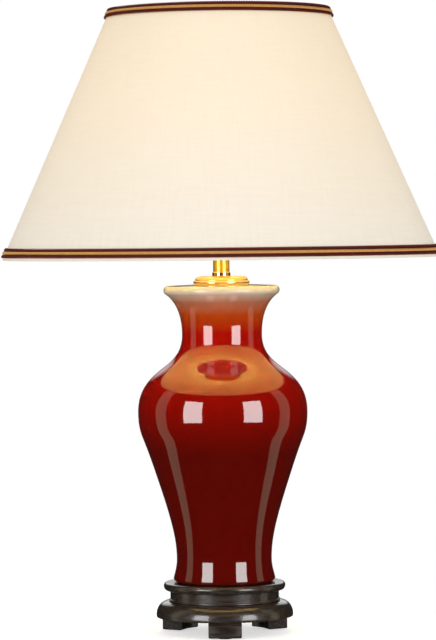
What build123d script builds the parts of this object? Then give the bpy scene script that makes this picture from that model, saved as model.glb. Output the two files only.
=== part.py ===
from build123d import *
import os
from math import asin, atan2, cos, degrees, radians, sin, sqrt, tan

# Table lamp: a glazed baluster vase on a turned stand with three feet, a brass neck, a screw lampholder
# and a fabric cone shade. Millimetres, +Z up, origin on the table under the lamp's axis, front at -Y.

# Gaps shared by the fits
GLUE_GAP = 0.1
SLIDE_GAP = 0.2
CLAMP_GAP = 0.1

# Stand
FOOT_FRONT_ANGLE = -90.0
FOOT_PAD_THICKNESS = 1.0
FOOT_PAD_RADIUS = 7.5
FOOT_SETBACK = 3.6
FOOT_DEPTH = 21.9
FOOT_WIDTH = 34.5
FOOT_EDGE = 0.8
FOOT_TENON = 7.3
APRON_CLEARANCE = 17.2
APRON_HEIGHT = 16.0
APRON_BULGE_RADIUS = 71.6
APRON_BULGE_HEIGHT = 2.0
APRON_BULGE_DROP = 6.0
APRON_UNDERCUT = 7.0
APRON_SHOULDER = 12.0
WAIST_RADIUS = 56.8
WAIST_HEIGHT = 11.8
WAIST_BEAD_RADIUS = 1.3
SEAT_RADIUS = 63.6
SEAT_THICKNESS = 8.0
SEAT_EDGE_DROP = 3.4
SEAT_FLAT_RADIUS = 59.8
SEAT_UNDERSIDE_RADIUS = 60.4
STAND_CAVITY_RADIUS = 30.0
DOWEL_RADIUS = 3.0
DOWEL_LENGTH = 15.0
SCREW_RADIUS = 2.0
SCREW_HEAD_RADIUS = 3.8
SCREW_HEAD_HEIGHT = 2.4
SCREW_POINT_HEIGHT = 4.0
STAND_SCREW_BITE = 5.0
BASE_SCREW_BITE = 6.5
BASE_SCREW_TURN = 30.0
BASE_PLATE_THICKNESS = 2.0
BASE_PLATE_RECESS = 2.2
BASE_PLATE_MARGIN = 5.0
CORD_BORE_RADIUS = 4.0
CORD_RISE = 8.1
BUSHING_WALL = 1.2
BUSHING_TAIL = 2.0
BUSHING_FLANGE_RADIUS = 6.5
BUSHING_FLANGE_THICKNESS = 2.0
BUSHING_FLANGE_INSET = 7.0
TERMINAL_BLOCK_LENGTH = 26.0
TERMINAL_BLOCK_WIDTH = 15.0
TERMINAL_BLOCK_HEIGHT = 11.0
TERMINAL_BLOCK_EDGE = 1.5
TERMINAL_ENTRY_RADIUS = 1.6
TERMINAL_ENTRY_SPACING = 8.0
TERMINAL_ENTRY_DEPTH = 5.0

# Vase
VASE_PAD_THICKNESS = 2.0
VASE_PAD_RECESS = 1.7
VASE_PAD_RADIUS = 46.0
VASE_PAD_HOLE_RADIUS = 22.0
VASE_HEIGHT = 310.7
VASE_WALL = 6.0
VASE_FLOOR = 8.0
VASE_DECK = 7.0
VASE_DRAIN_RADIUS = 18.0
VASE_FOOT_RADIUS = 53.2
VASE_FOOT_ROUND = 4.0
VASE_FOOT_TAPER = 0.25
VASE_WAIST_RADIUS = 49.6
VASE_WAIST_HEIGHT = 24.0
VASE_SHANK_RADIUS = 55.0
VASE_SHANK_HEIGHT = 62.0
VASE_FLANK_RADIUS = 67.5
VASE_FLANK_HEIGHT = 104.0
VASE_SWELL_RADIUS = 82.0
VASE_SWELL_HEIGHT = 146.0
VASE_BELLY_RADIUS = 88.5
VASE_BELLY_HEIGHT = 177.7
VASE_SHOULDER_RADIUS = 67.1
VASE_SHOULDER_HEIGHT = 219.9
VASE_NECK_RADIUS = 41.7
VASE_NECK_HEIGHT = 258.5
VASE_LIP_RADIUS = 60.6
VASE_LIP_DROP = 10.6
VASE_LIP_UNDERCUT = 3.0
VASE_LIP_CROWN = 1.4
VASE_LIP_SLOPE = 0.8

# Threaded rod and the stack that it clamps
ROD_RADIUS = 5.0
ROD_BORE_RADIUS = 3.5
ROD_TAIL = 3.0
NUT_ACROSS_FLATS = 16.0
NUT_THICKNESS = 5.0
WASHER_RADIUS = 15.0
WASHER_THICKNESS = 1.6
LOCK_WASHER_RADIUS = 8.6
LOCK_WASHER_THICKNESS = 1.8
LOCK_WASHER_SLIT = 1.6
WIRE_RADIUS = 1.1
WIRE_CIRCLE_RADIUS = 1.9
WIRE_FIRST_ANGLE = 90.0
BUSH_RADIUS = 8.0
BUSH_FLANGE_RADIUS = 14.0
BUSH_FLANGE_THICKNESS = 2.0
BUSH_DEPTH = 5.0
CAP_RADIUS = 29.2
CAP_TOP_RADIUS = 27.4
CAP_WALL = 0.8
CAP_BEAD_HEIGHT = 4.4
CAP_BEAD_ROLL = 0.9
CAP_DOME_HEIGHT = 4.0
CAP_DOME_ROLL = 3.2
COLLAR_RADIUS = 9.5
COLLAR_HEIGHT = 4.6
COLLAR_EDGE = 0.6
COLLAR_SPIGOT_HEIGHT = 3.0
NECK_TUBE_RADIUS = 8.6
NECK_TUBE_WALL = 1.0
NECK_TUBE_LENGTH = 70.0

# Lampholder
HOLDER_NECK_RADIUS = 8.4
HOLDER_NECK_HEIGHT = 7.0
HOLDER_DOME_HEIGHT = 8.5
HOLDER_CUP_HEIGHT = 12.0
HOLDER_WALL = 1.2
MANTLE_RADIUS = 20.0
MANTLE_WALL = 1.2
MANTLE_HEIGHT = 37.0
MANTLE_OVERLAP = 4.0
CORE_BORE_RADIUS = 14.6
CORE_BORE_DEPTH = 28.0
SCREW_SHELL_WALL = 0.7
SCREW_SHELL_HEIGHT = 22.0
CONTACT_WIDTH = 5.0
CONTACT_THICKNESS = 0.6
CONTACT_RISE = 2.6
CONTACT_HALF_LENGTH = 8.0
GRUB_SCREW_RADIUS = 1.5
GRUB_SCREW_LENGTH = 4.0
TERMINAL_SCREW_RADIUS = 1.2
TERMINAL_SCREW_DEPTH = 3.0
TERMINAL_SCREW_HEAD_RADIUS = 2.2
TERMINAL_SCREW_HEAD_HEIGHT = 1.6
TERMINAL_SCREW_SPACING = 22.0
SWITCH_BAR_RADIUS = 3.0
SWITCH_BAR_REACH = 4.0
SWITCH_BAR_ROUND = 1.2
SWITCH_TRAVEL = 6.0
SHADE_RING_RADIUS = 28.5
SHADE_RING_FLANGE = 2.0
SHADE_RING_HUB_RADIUS = 23.0
SHADE_RING_HEIGHT = 6.0
SHADE_RING_NOTCHES = 24
SHADE_RING_NOTCH_RADIUS = 1.0

# Bulb
BULB_GLOBE_RADIUS = 30.0
BULB_LENGTH = 108.0
BULB_GLASS_WALL = 0.8
BULB_NECK_RADIUS = 12.2
BULB_NECK_START = 24.0
BULB_NECK_STRAIGHT = 6.0
BULB_SHOULDER_ANGLE = 40.0
BULB_CAP_RADIUS = 13.2
BULB_CAP_WALL = 0.5
BULB_CAP_TOP = 27.0
BULB_THREAD_PITCH = 3.62
BULB_THREAD_DEPTH = 0.9
BULB_THREAD_TURNS = 5
BULB_TIP_RADIUS = 4.0
BULB_TIP_HEIGHT = 1.6
BULB_INSULATOR_RADIUS = 5.5
BULB_INSULATOR_HEIGHT = 3.6
BULB_STEM_FLARE = 1.5
BULB_STEM_RADIUS = 4.5
BULB_STEM_HEIGHT = 28.0
FILAMENT_RADIUS = 0.5
FILAMENT_SPAN = 26.0
FILAMENT_HEIGHT = 22.0
FILAMENT_BEND = 3.0

# Shade
SHADE_HEIGHT = 260.0
SHADE_TOP_RADIUS = 113.9
SHADE_BOTTOM_RADIUS = 228.8
COVER_THICKNESS = 1.0
LINING_THICKNESS = 0.8
FITTER_BELOW_RIM = 17.0
FITTER_DROP = 161.0
FITTER_RADIUS = 33.0
FITTER_CLEARANCE = 0.8
FITTER_THICKNESS = 1.5
STRUT_RADIUS = 1.6
STRUT_FIRST_ANGLE = 90.0
SHADE_WIRE_RADIUS = 1.5
SHADE_WIRE_INSET = 4.0
TRIM_WIDTH = 11.1
TRIM_HEM = 2.0
TRIM_RIBBON_THICKNESS = 0.4
TRIM_EDGE_CORD_HEIGHT = 1.9
TRIM_GOLD_CORD_WIDTH = 3.4
TRIM_GOLD_CORD_HEIGHT = 1.9

# Heights up the lamp, each taken from the piece that carries it
apron_top = APRON_CLEARANCE + APRON_HEIGHT
foot_top = APRON_CLEARANCE + FOOT_TENON
waist_top = apron_top + WAIST_HEIGHT
seat_top = waist_top + SEAT_THICKNESS
pad_bottom = seat_top - VASE_PAD_RECESS
vase_bottom = pad_bottom + VASE_PAD_THICKNESS
vase_top = vase_bottom + VASE_HEIGHT
cap_shoulder = vase_top + CAP_BEAD_HEIGHT
cap_top = cap_shoulder + CAP_DOME_HEIGHT
collar_top = cap_top + COLLAR_HEIGHT
tube_top = collar_top + NECK_TUBE_LENGTH
holder_dome_bottom = tube_top + HOLDER_NECK_HEIGHT
holder_cup_bottom = holder_dome_bottom + HOLDER_DOME_HEIGHT
holder_cup_top = holder_cup_bottom + HOLDER_CUP_HEIGHT
mantle_bottom = holder_cup_top - MANTLE_OVERLAP
mantle_top = mantle_bottom + MANTLE_HEIGHT
core_bottom = holder_cup_bottom + GLUE_GAP
core_floor = mantle_top - CORE_BORE_DEPTH
switch_height = (core_bottom + mantle_bottom) / 2
bulb_bottom = core_floor + CONTACT_RISE + SLIDE_GAP
fitter_bottom = mantle_top - FITTER_BELOW_RIM
fitter_top = fitter_bottom + FITTER_THICKNESS
shade_top = fitter_bottom + FITTER_DROP
shade_bottom = shade_top - SHADE_HEIGHT

# Radii and places inside the stand
apron_lower_radius = APRON_BULGE_RADIUS - APRON_UNDERCUT
apron_upper_radius = APRON_BULGE_RADIUS - APRON_SHOULDER
bulge_height = APRON_CLEARANCE + APRON_BULGE_HEIGHT
bulge_rise = APRON_HEIGHT - APRON_BULGE_HEIGHT
foot_outer_radius = APRON_BULGE_RADIUS - FOOT_SETBACK
foot_inner_radius = foot_outer_radius - FOOT_DEPTH
foot_mid_radius = (foot_inner_radius + foot_outer_radius) / 2
foot_shoulder = bulge_height - APRON_BULGE_DROP * sqrt(1 - (1 - FOOT_SETBACK / APRON_UNDERCUT) ** 2)
screw_circle_radius = (STAND_CAVITY_RADIUS + foot_inner_radius) / 2
base_plate_radius = screw_circle_radius + BASE_PLATE_MARGIN
base_plate_top = APRON_CLEARANCE + BASE_PLATE_RECESS
base_plate_bottom = base_plate_top - BASE_PLATE_THICKNESS
cord_height = APRON_CLEARANCE + CORD_RISE
bushing_radius = CORD_BORE_RADIUS + BUSHING_WALL
bushing_start = STAND_CAVITY_RADIUS - BUSHING_TAIL
flange_start = APRON_BULGE_RADIUS - BUSHING_FLANGE_INSET
terminal_top = base_plate_top + TERMINAL_BLOCK_HEIGHT

# Radii and places along the rod
rod_hole_radius = ROD_RADIUS + SLIDE_GAP
washer_bottom = waist_top - WASHER_THICKNESS
lock_washer_bottom = washer_bottom - LOCK_WASHER_THICKNESS
nut_bottom = lock_washer_bottom - NUT_THICKNESS
rod_bottom = nut_bottom - ROD_TAIL
cup_inner_radius = MANTLE_RADIUS + SLIDE_GAP
cup_outer_radius = cup_inner_radius + HOLDER_WALL
core_radius = MANTLE_RADIUS - MANTLE_WALL - SLIDE_GAP

# The shade's slope, and how wide a thickness across the cloth is when measured level
shade_slope = atan2(SHADE_BOTTOM_RADIUS - SHADE_TOP_RADIUS, SHADE_HEIGHT)
level = 1 / cos(shade_slope)
lining_start = COVER_THICKNESS + GLUE_GAP
shade_wall = lining_start + LINING_THICKNESS

os.makedirs("parts", exist_ok=True)


def keep(name, builder):
    """Label a finished piece and write it to its own file."""
    builder.part.label = name
    export_step(builder.part, f"parts/{name}.step")


# Feet: blocks let up into the apron and rounded with its bulge, each with a dowel hole in its top
foot_names = ("foot_front", "foot_back_right", "foot_back_left")
foot_step = 360 / len(foot_names)
foot_angles = [FOOT_FRONT_ANGLE + i * foot_step for i in range(len(foot_names))]


def bulge_side(start, end):
    """Draw the apron's round side in the open line, from a height below its widest place to one above."""
    drop = degrees(asin((bulge_height - start) / APRON_BULGE_DROP))
    rise = degrees(asin(min(1, (end - bulge_height) / bulge_rise)))
    below = EllipticalCenterArc(
        (apron_lower_radius, bulge_height), APRON_UNDERCUT, APRON_BULGE_DROP, start_angle=-drop, arc_size=drop
    )
    above = EllipticalCenterArc(
        (apron_upper_radius, bulge_height), APRON_SHOULDER, bulge_rise, start_angle=0, arc_size=rise
    )
    return below @ 0, above @ 1


def foot_slabs(width, angles):
    """Draw slabs in the open sketch that reach across the feet and out of the apron."""
    with PolarLocations(foot_mid_radius, len(angles), start_angle=angles[0]):
        Rectangle(2 * FOOT_DEPTH, width)


for foot_name, foot_angle in zip(foot_names, foot_angles):
    with BuildPart() as foot:
        with BuildSketch(Plane.XZ):
            with BuildLine():
                side_start, side_end = bulge_side(foot_shoulder, foot_top)
                Polyline(
                    side_start,
                    (foot_outer_radius, FOOT_PAD_THICKNESS),
                    (foot_inner_radius, FOOT_PAD_THICKNESS),
                    (foot_inner_radius, foot_top),
                    side_end,
                )
            make_face()
        revolve(axis=Axis.Z)
        with BuildSketch():
            foot_slabs(FOOT_WIDTH, [foot_angle])
        extrude(amount=foot_top, mode=Mode.INTERSECT)
        chamfer(foot.edges().group_by(Axis.Z)[0], FOOT_EDGE)
        with Locations(Plane.XY.offset(foot_top)):
            with PolarLocations(foot_mid_radius, 1, start_angle=foot_angle):
                Hole(DOWEL_RADIUS + GLUE_GAP, depth=DOWEL_LENGTH / 2 + GLUE_GAP)
    keep(foot_name, foot)

with BuildPart() as foot_pads:
    with BuildSketch():
        with PolarLocations(foot_mid_radius, len(foot_names), start_angle=FOOT_FRONT_ANGLE):
            Circle(FOOT_PAD_RADIUS)
    extrude(amount=FOOT_PAD_THICKNESS)
keep("foot_pads", foot_pads)

with BuildPart() as foot_dowels:
    with BuildSketch(Plane.XY.offset(foot_top - DOWEL_LENGTH / 2)):
        with PolarLocations(foot_mid_radius, len(foot_names), start_angle=FOOT_FRONT_ANGLE):
            Circle(DOWEL_RADIUS)
    extrude(amount=DOWEL_LENGTH)
keep("foot_dowels", foot_dowels)


# Screws: a countersunk head at the origin, the point up
def wood_screw(length, gap):
    """One wood screw, or with a gap the hole that it goes into."""
    with BuildPart() as screw:
        with BuildSketch(Plane.XZ):
            with BuildLine():
                Polyline(
                    (0, 0),
                    (SCREW_HEAD_RADIUS + gap, 0),
                    (SCREW_RADIUS + gap, SCREW_HEAD_HEIGHT),
                    (SCREW_RADIUS + gap, length - SCREW_POINT_HEIGHT),
                    (0, length + gap),
                    close=True,
                )
            make_face()
        revolve(axis=Axis.Z)
    return screw.part


stand_screw_length = waist_top - base_plate_top + STAND_SCREW_BITE
base_screw_length = BASE_PLATE_THICKNESS + BASE_SCREW_BITE
stand_screw = wood_screw(stand_screw_length, 0)
stand_screw_hole = wood_screw(stand_screw_length, GLUE_GAP)
base_screw = wood_screw(base_screw_length, 0)
base_screw_hole = wood_screw(base_screw_length, GLUE_GAP)


def screw_places(turn):
    """Three places on the screws' circle, turned from the feet by an angle."""
    return PolarLocations(screw_circle_radius, len(foot_names), start_angle=FOOT_FRONT_ANGLE + turn)


with BuildPart() as stand_screws:
    with Locations(Plane.XY.offset(base_plate_top)):
        with screw_places(0):
            add(stand_screw)
keep("stand_screws", stand_screws)

with BuildPart() as base_plate_screws:
    with Locations(Plane.XY.offset(base_plate_bottom)):
        with screw_places(BASE_SCREW_TURN):
            add(base_screw)
keep("base_plate_screws", base_plate_screws)

# Apron: a bulging ring, notched for the feet and drilled for the cord, with the base plate let in below
cord_plane = Plane(origin=(0, 0, cord_height), x_dir=(1, 0, 0), z_dir=(0, 1, 0))
with BuildPart() as stand_apron:
    with BuildSketch(Plane.XZ):
        with BuildLine():
            side_start, side_end = bulge_side(APRON_CLEARANCE, apron_top)
            Polyline(
                side_end,
                (STAND_CAVITY_RADIUS, apron_top),
                (STAND_CAVITY_RADIUS, base_plate_top),
                (base_plate_radius + SLIDE_GAP, base_plate_top),
                (base_plate_radius + SLIDE_GAP, APRON_CLEARANCE),
                side_start,
            )
        make_face()
    revolve(axis=Axis.Z)
    with BuildSketch(Plane.XY.offset(APRON_CLEARANCE)):
        foot_slabs(FOOT_WIDTH + 2 * GLUE_GAP, foot_angles)
        Circle(foot_inner_radius - GLUE_GAP, mode=Mode.SUBTRACT)
    extrude(amount=FOOT_TENON + GLUE_GAP, mode=Mode.SUBTRACT)
    with BuildSketch(cord_plane.offset(bushing_start)):
        Circle(bushing_radius + GLUE_GAP)
    extrude(amount=APRON_BULGE_RADIUS, mode=Mode.SUBTRACT)
    with BuildSketch(cord_plane.offset(flange_start)):
        Circle(BUSHING_FLANGE_RADIUS + SLIDE_GAP)
    extrude(amount=APRON_BULGE_RADIUS, mode=Mode.SUBTRACT)
    with Locations(Plane.XY.offset(foot_top)):
        with PolarLocations(foot_mid_radius, len(foot_names), start_angle=FOOT_FRONT_ANGLE):
            Hole(DOWEL_RADIUS + GLUE_GAP, depth=DOWEL_LENGTH / 2 + GLUE_GAP)
    with Locations(Plane.XY.offset(base_plate_top)):
        with screw_places(0):
            add(stand_screw_hole, mode=Mode.SUBTRACT)
    with Locations(Plane.XY.offset(base_plate_bottom)):
        with screw_places(BASE_SCREW_TURN):
            add(base_screw_hole, mode=Mode.SUBTRACT)
keep("stand_apron", stand_apron)

# Waist: a plain ring with a bead round its lower edge
with BuildPart() as stand_waist:
    with BuildSketch(Plane.XZ):
        with BuildLine():
            Polyline(
                (WAIST_RADIUS, apron_top + 2 * WAIST_BEAD_RADIUS),
                (WAIST_RADIUS, waist_top),
                (STAND_CAVITY_RADIUS, waist_top),
                (STAND_CAVITY_RADIUS, apron_top),
                (WAIST_RADIUS, apron_top),
            )
            ThreePointArc(
                (WAIST_RADIUS, apron_top),
                (WAIST_RADIUS + WAIST_BEAD_RADIUS, apron_top + WAIST_BEAD_RADIUS),
                (WAIST_RADIUS, apron_top + 2 * WAIST_BEAD_RADIUS),
            )
        make_face()
    revolve(axis=Axis.Z)
    with Locations(Plane.XY.offset(base_plate_top)):
        with screw_places(0):
            add(stand_screw_hole, mode=Mode.SUBTRACT)
keep("stand_waist", stand_waist)

# Seat: a flat plate with a round edge and a shallow recess for the felt pad
seat_edge_height = seat_top - SEAT_EDGE_DROP
with BuildPart() as stand_seat:
    with BuildSketch(Plane.XZ):
        with BuildLine():
            EllipticalCenterArc(
                (SEAT_UNDERSIDE_RADIUS, seat_edge_height),
                SEAT_RADIUS - SEAT_UNDERSIDE_RADIUS,
                SEAT_THICKNESS - SEAT_EDGE_DROP,
                start_angle=-90,
                arc_size=90,
            )
            EllipticalCenterArc(
                (SEAT_FLAT_RADIUS, seat_edge_height),
                SEAT_RADIUS - SEAT_FLAT_RADIUS,
                SEAT_EDGE_DROP,
                start_angle=0,
                arc_size=90,
            )
            Polyline(
                (SEAT_FLAT_RADIUS, seat_top),
                (VASE_PAD_RADIUS + SLIDE_GAP, seat_top),
                (VASE_PAD_RADIUS + SLIDE_GAP, pad_bottom),
                (rod_hole_radius, pad_bottom),
                (rod_hole_radius, waist_top),
                (SEAT_UNDERSIDE_RADIUS, waist_top),
            )
        make_face()
    revolve(axis=Axis.Z)
    with Locations(Plane.XY.offset(base_plate_top)):
        with screw_places(0):
            add(stand_screw_hole, mode=Mode.SUBTRACT)
keep("stand_seat", stand_seat)

with BuildPart() as base_plate:
    with BuildSketch(Plane.XY.offset(base_plate_bottom)):
        Circle(base_plate_radius)
    extrude(amount=BASE_PLATE_THICKNESS)
    with Locations(Plane.XY.offset(base_plate_bottom)):
        with screw_places(BASE_SCREW_TURN):
            add(base_screw_hole, mode=Mode.SUBTRACT)
keep("base_plate", base_plate)

# Cord bushing: a flanged sleeve through the back of the apron
with BuildPart() as cord_bushing:
    with BuildSketch(cord_plane.offset(bushing_start)):
        Circle(bushing_radius)
    extrude(amount=flange_start - bushing_start)
    with BuildSketch(cord_plane.offset(flange_start)):
        Circle(BUSHING_FLANGE_RADIUS)
    extrude(amount=BUSHING_FLANGE_THICKNESS)
    with BuildSketch(cord_plane.offset(bushing_start)):
        Circle(CORD_BORE_RADIUS)
    extrude(amount=flange_start - bushing_start + BUSHING_FLANGE_THICKNESS, mode=Mode.SUBTRACT)
keep("cord_bushing", cord_bushing)

# Terminal block: stands on the base plate, its cord entries facing the bushing
wire_names = ("wire_live", "wire_neutral", "wire_earth")
with BuildPart() as terminal_block:
    with BuildSketch(Plane.XY.offset(base_plate_top)):
        Rectangle(TERMINAL_BLOCK_LENGTH, TERMINAL_BLOCK_WIDTH)
    extrude(amount=TERMINAL_BLOCK_HEIGHT)
    fillet(terminal_block.edges().filter_by(Axis.Z), TERMINAL_BLOCK_EDGE)
    with BuildSketch(Plane.XZ.offset(-TERMINAL_BLOCK_WIDTH / 2)):
        with Locations((0, base_plate_top + TERMINAL_BLOCK_HEIGHT / 2)):
            with GridLocations(TERMINAL_ENTRY_SPACING, TERMINAL_BLOCK_HEIGHT, len(wire_names), 1):
                Circle(TERMINAL_ENTRY_RADIUS)
    extrude(amount=TERMINAL_ENTRY_DEPTH, mode=Mode.SUBTRACT)
keep("terminal_block", terminal_block)

# Wires: straight up from the terminal block, through the rod, to the lampholder's core
for wire_index, wire_name in enumerate(wire_names):
    wire_angle = WIRE_FIRST_ANGLE + wire_index * 360 / len(wire_names)
    with BuildPart() as wire:
        with BuildSketch(Plane.XY.offset(terminal_top)):
            with PolarLocations(WIRE_CIRCLE_RADIUS, 1, start_angle=wire_angle):
                Circle(WIRE_RADIUS)
        extrude(amount=core_bottom - terminal_top)
    keep(wire_name, wire)


# Rod, nut and washers
def ring_plan(outer_radius, inner_radius):
    """Draw a ring round the lamp's axis in the open sketch."""
    Circle(outer_radius)
    Circle(inner_radius, mode=Mode.SUBTRACT)


with BuildPart() as threaded_rod:
    with BuildSketch(Plane.XY.offset(rod_bottom)):
        ring_plan(ROD_RADIUS, ROD_BORE_RADIUS)
    extrude(amount=holder_dome_bottom - rod_bottom)
keep("threaded_rod", threaded_rod)

with BuildPart() as rod_nut:
    with BuildSketch(Plane.XY.offset(nut_bottom)):
        RegularPolygon(NUT_ACROSS_FLATS / 2, 6, major_radius=False)
        Circle(rod_hole_radius, mode=Mode.SUBTRACT)
    extrude(amount=NUT_THICKNESS)
keep("rod_nut", rod_nut)

with BuildPart() as rod_lock_washer:
    with BuildSketch(Plane.XY.offset(lock_washer_bottom)):
        ring_plan(LOCK_WASHER_RADIUS, rod_hole_radius)
        with Locations((LOCK_WASHER_RADIUS, 0)):
            Rectangle(2 * (LOCK_WASHER_RADIUS - ROD_RADIUS), LOCK_WASHER_SLIT, mode=Mode.SUBTRACT)
    extrude(amount=LOCK_WASHER_THICKNESS)
keep("rod_lock_washer", rod_lock_washer)

with BuildPart() as rod_washer:
    with BuildSketch(Plane.XY.offset(washer_bottom)):
        ring_plan(WASHER_RADIUS, rod_hole_radius)
    extrude(amount=WASHER_THICKNESS)
keep("rod_washer", rod_washer)

with BuildPart() as vase_pad:
    with BuildSketch(Plane.XY.offset(pad_bottom)):
        ring_plan(VASE_PAD_RADIUS, VASE_PAD_HOLE_RADIUS)
    extrude(amount=VASE_PAD_THICKNESS)
keep("vase_pad", vase_pad)


# Vase: a hollow casting, closed at the top by a deck with a hole for the rod, open below
upright = (0, 1)


def vase_side(inset):
    """Draw the vase's side in the open line, from above the foot up to the neck, set in by a wall."""
    Spline(
        (VASE_WAIST_RADIUS - inset, vase_bottom + VASE_WAIST_HEIGHT),
        (VASE_SHANK_RADIUS - inset, vase_bottom + VASE_SHANK_HEIGHT),
        (VASE_FLANK_RADIUS - inset, vase_bottom + VASE_FLANK_HEIGHT),
        (VASE_SWELL_RADIUS - inset, vase_bottom + VASE_SWELL_HEIGHT),
        (VASE_BELLY_RADIUS - inset, vase_bottom + VASE_BELLY_HEIGHT),
        tangents=(upright, upright),
    )
    Spline(
        (VASE_BELLY_RADIUS - inset, vase_bottom + VASE_BELLY_HEIGHT),
        (VASE_SHOULDER_RADIUS - inset, vase_bottom + VASE_SHOULDER_HEIGHT),
        (VASE_NECK_RADIUS - inset, vase_bottom + VASE_NECK_HEIGHT),
        tangents=(upright, upright),
    )


lip_flare_radius = VASE_LIP_RADIUS - VASE_LIP_UNDERCUT
with BuildPart() as vase:
    with BuildSketch(Plane.XZ):
        with BuildLine():
            Line((0, vase_bottom), (VASE_FOOT_RADIUS - VASE_FOOT_ROUND, vase_bottom))
            foot_round = CenterArc(
                (VASE_FOOT_RADIUS - VASE_FOOT_ROUND, vase_bottom + VASE_FOOT_ROUND), VASE_FOOT_ROUND, -90, 90
            )
            Spline(
                foot_round @ 1,
                (VASE_WAIST_RADIUS, vase_bottom + VASE_WAIST_HEIGHT),
                tangents=((-VASE_FOOT_TAPER, 1), upright),
            )
            vase_side(0)
            Spline(
                (VASE_NECK_RADIUS, vase_bottom + VASE_NECK_HEIGHT),
                (lip_flare_radius, vase_top - VASE_LIP_DROP),
                tangents=(upright, (1, VASE_LIP_SLOPE)),
            )
            ThreePointArc(
                (lip_flare_radius, vase_top - VASE_LIP_DROP),
                (VASE_LIP_RADIUS, vase_top - VASE_LIP_DROP / 2),
                (lip_flare_radius, vase_top - VASE_LIP_CROWN),
            )
            Polyline(
                (lip_flare_radius, vase_top - VASE_LIP_CROWN),
                (CAP_RADIUS, vase_top),
                (0, vase_top),
                (0, vase_bottom),
            )
        make_face()
    revolve(axis=Axis.Z)
    with BuildSketch(Plane.XZ):
        with BuildLine():
            Polyline(
                (VASE_WAIST_RADIUS - VASE_WALL, vase_bottom + VASE_WAIST_HEIGHT),
                (VASE_WAIST_RADIUS - VASE_WALL, vase_bottom + VASE_FLOOR),
                (0, vase_bottom + VASE_FLOOR),
                (0, vase_top - VASE_DECK),
                (VASE_NECK_RADIUS - VASE_WALL, vase_top - VASE_DECK),
                (VASE_NECK_RADIUS - VASE_WALL, vase_bottom + VASE_NECK_HEIGHT),
            )
            vase_side(VASE_WALL)
        make_face()
    revolve(axis=Axis.Z, mode=Mode.SUBTRACT)
    with Locations(Plane.XY.offset(vase_bottom)):
        Hole(VASE_DRAIN_RADIUS, depth=VASE_FLOOR)
    with Locations(Plane.XY.offset(vase_top)):
        Hole(BUSH_RADIUS + SLIDE_GAP, depth=VASE_DECK)
keep("vase", vase)

# Centring bush: a flanged rubber sleeve round the rod in the vase's deck
with BuildPart() as rod_bush:
    with BuildSketch(Plane.XY.offset(vase_top)):
        ring_plan(BUSH_FLANGE_RADIUS, rod_hole_radius)
    extrude(amount=BUSH_FLANGE_THICKNESS)
    with BuildSketch(Plane.XY.offset(vase_top - BUSH_DEPTH)):
        ring_plan(BUSH_RADIUS, rod_hole_radius)
    extrude(amount=BUSH_DEPTH)
keep("rod_bush", rod_bush)

# Vase cap: spun sheet with a rolled bead and a low dome, open below
bead_foot_radius = CAP_RADIUS - CAP_BEAD_ROLL
dome_flat_radius = CAP_TOP_RADIUS - CAP_DOME_ROLL
with BuildPart() as vase_cap:
    with BuildSketch(Plane.XZ):
        with BuildLine():
            ThreePointArc(
                (bead_foot_radius, vase_top),
                (CAP_RADIUS, vase_top + CAP_BEAD_HEIGHT / 2),
                (bead_foot_radius, cap_shoulder),
            )
            Line((bead_foot_radius, cap_shoulder), (CAP_TOP_RADIUS, cap_shoulder))
            EllipticalCenterArc(
                (dome_flat_radius, cap_shoulder), CAP_DOME_ROLL, CAP_DOME_HEIGHT, start_angle=0, arc_size=90
            )
            Polyline(
                (dome_flat_radius, cap_top),
                (rod_hole_radius, cap_top),
                (rod_hole_radius, cap_top - CAP_WALL),
                (dome_flat_radius, cap_top - CAP_WALL),
            )
            EllipticalCenterArc(
                (dome_flat_radius, cap_shoulder),
                CAP_DOME_ROLL - CAP_WALL,
                CAP_DOME_HEIGHT - CAP_WALL,
                start_angle=0,
                arc_size=90,
            )
            Polyline(
                (CAP_TOP_RADIUS - CAP_WALL, cap_shoulder),
                (CAP_TOP_RADIUS - CAP_WALL, vase_top),
                (bead_foot_radius, vase_top),
            )
        make_face()
    revolve(axis=Axis.Z)
keep("vase_cap", vase_cap)

with BuildPart() as neck_collar:
    with BuildSketch(Plane.XY.offset(cap_top)):
        ring_plan(COLLAR_RADIUS, rod_hole_radius)
    extrude(amount=COLLAR_HEIGHT)
    fillet(neck_collar.edges().filter_by(GeomType.CIRCLE).group_by(SortBy.RADIUS)[-1], COLLAR_EDGE)
    with BuildSketch(Plane.XY.offset(collar_top)):
        ring_plan(NECK_TUBE_RADIUS - NECK_TUBE_WALL - GLUE_GAP, rod_hole_radius)
    extrude(amount=COLLAR_SPIGOT_HEIGHT)
keep("neck_collar", neck_collar)

with BuildPart() as neck_tube:
    with BuildSketch(Plane.XY.offset(collar_top)):
        ring_plan(NECK_TUBE_RADIUS, NECK_TUBE_RADIUS - NECK_TUBE_WALL)
    extrude(amount=NECK_TUBE_LENGTH)
keep("neck_tube", neck_tube)

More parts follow.
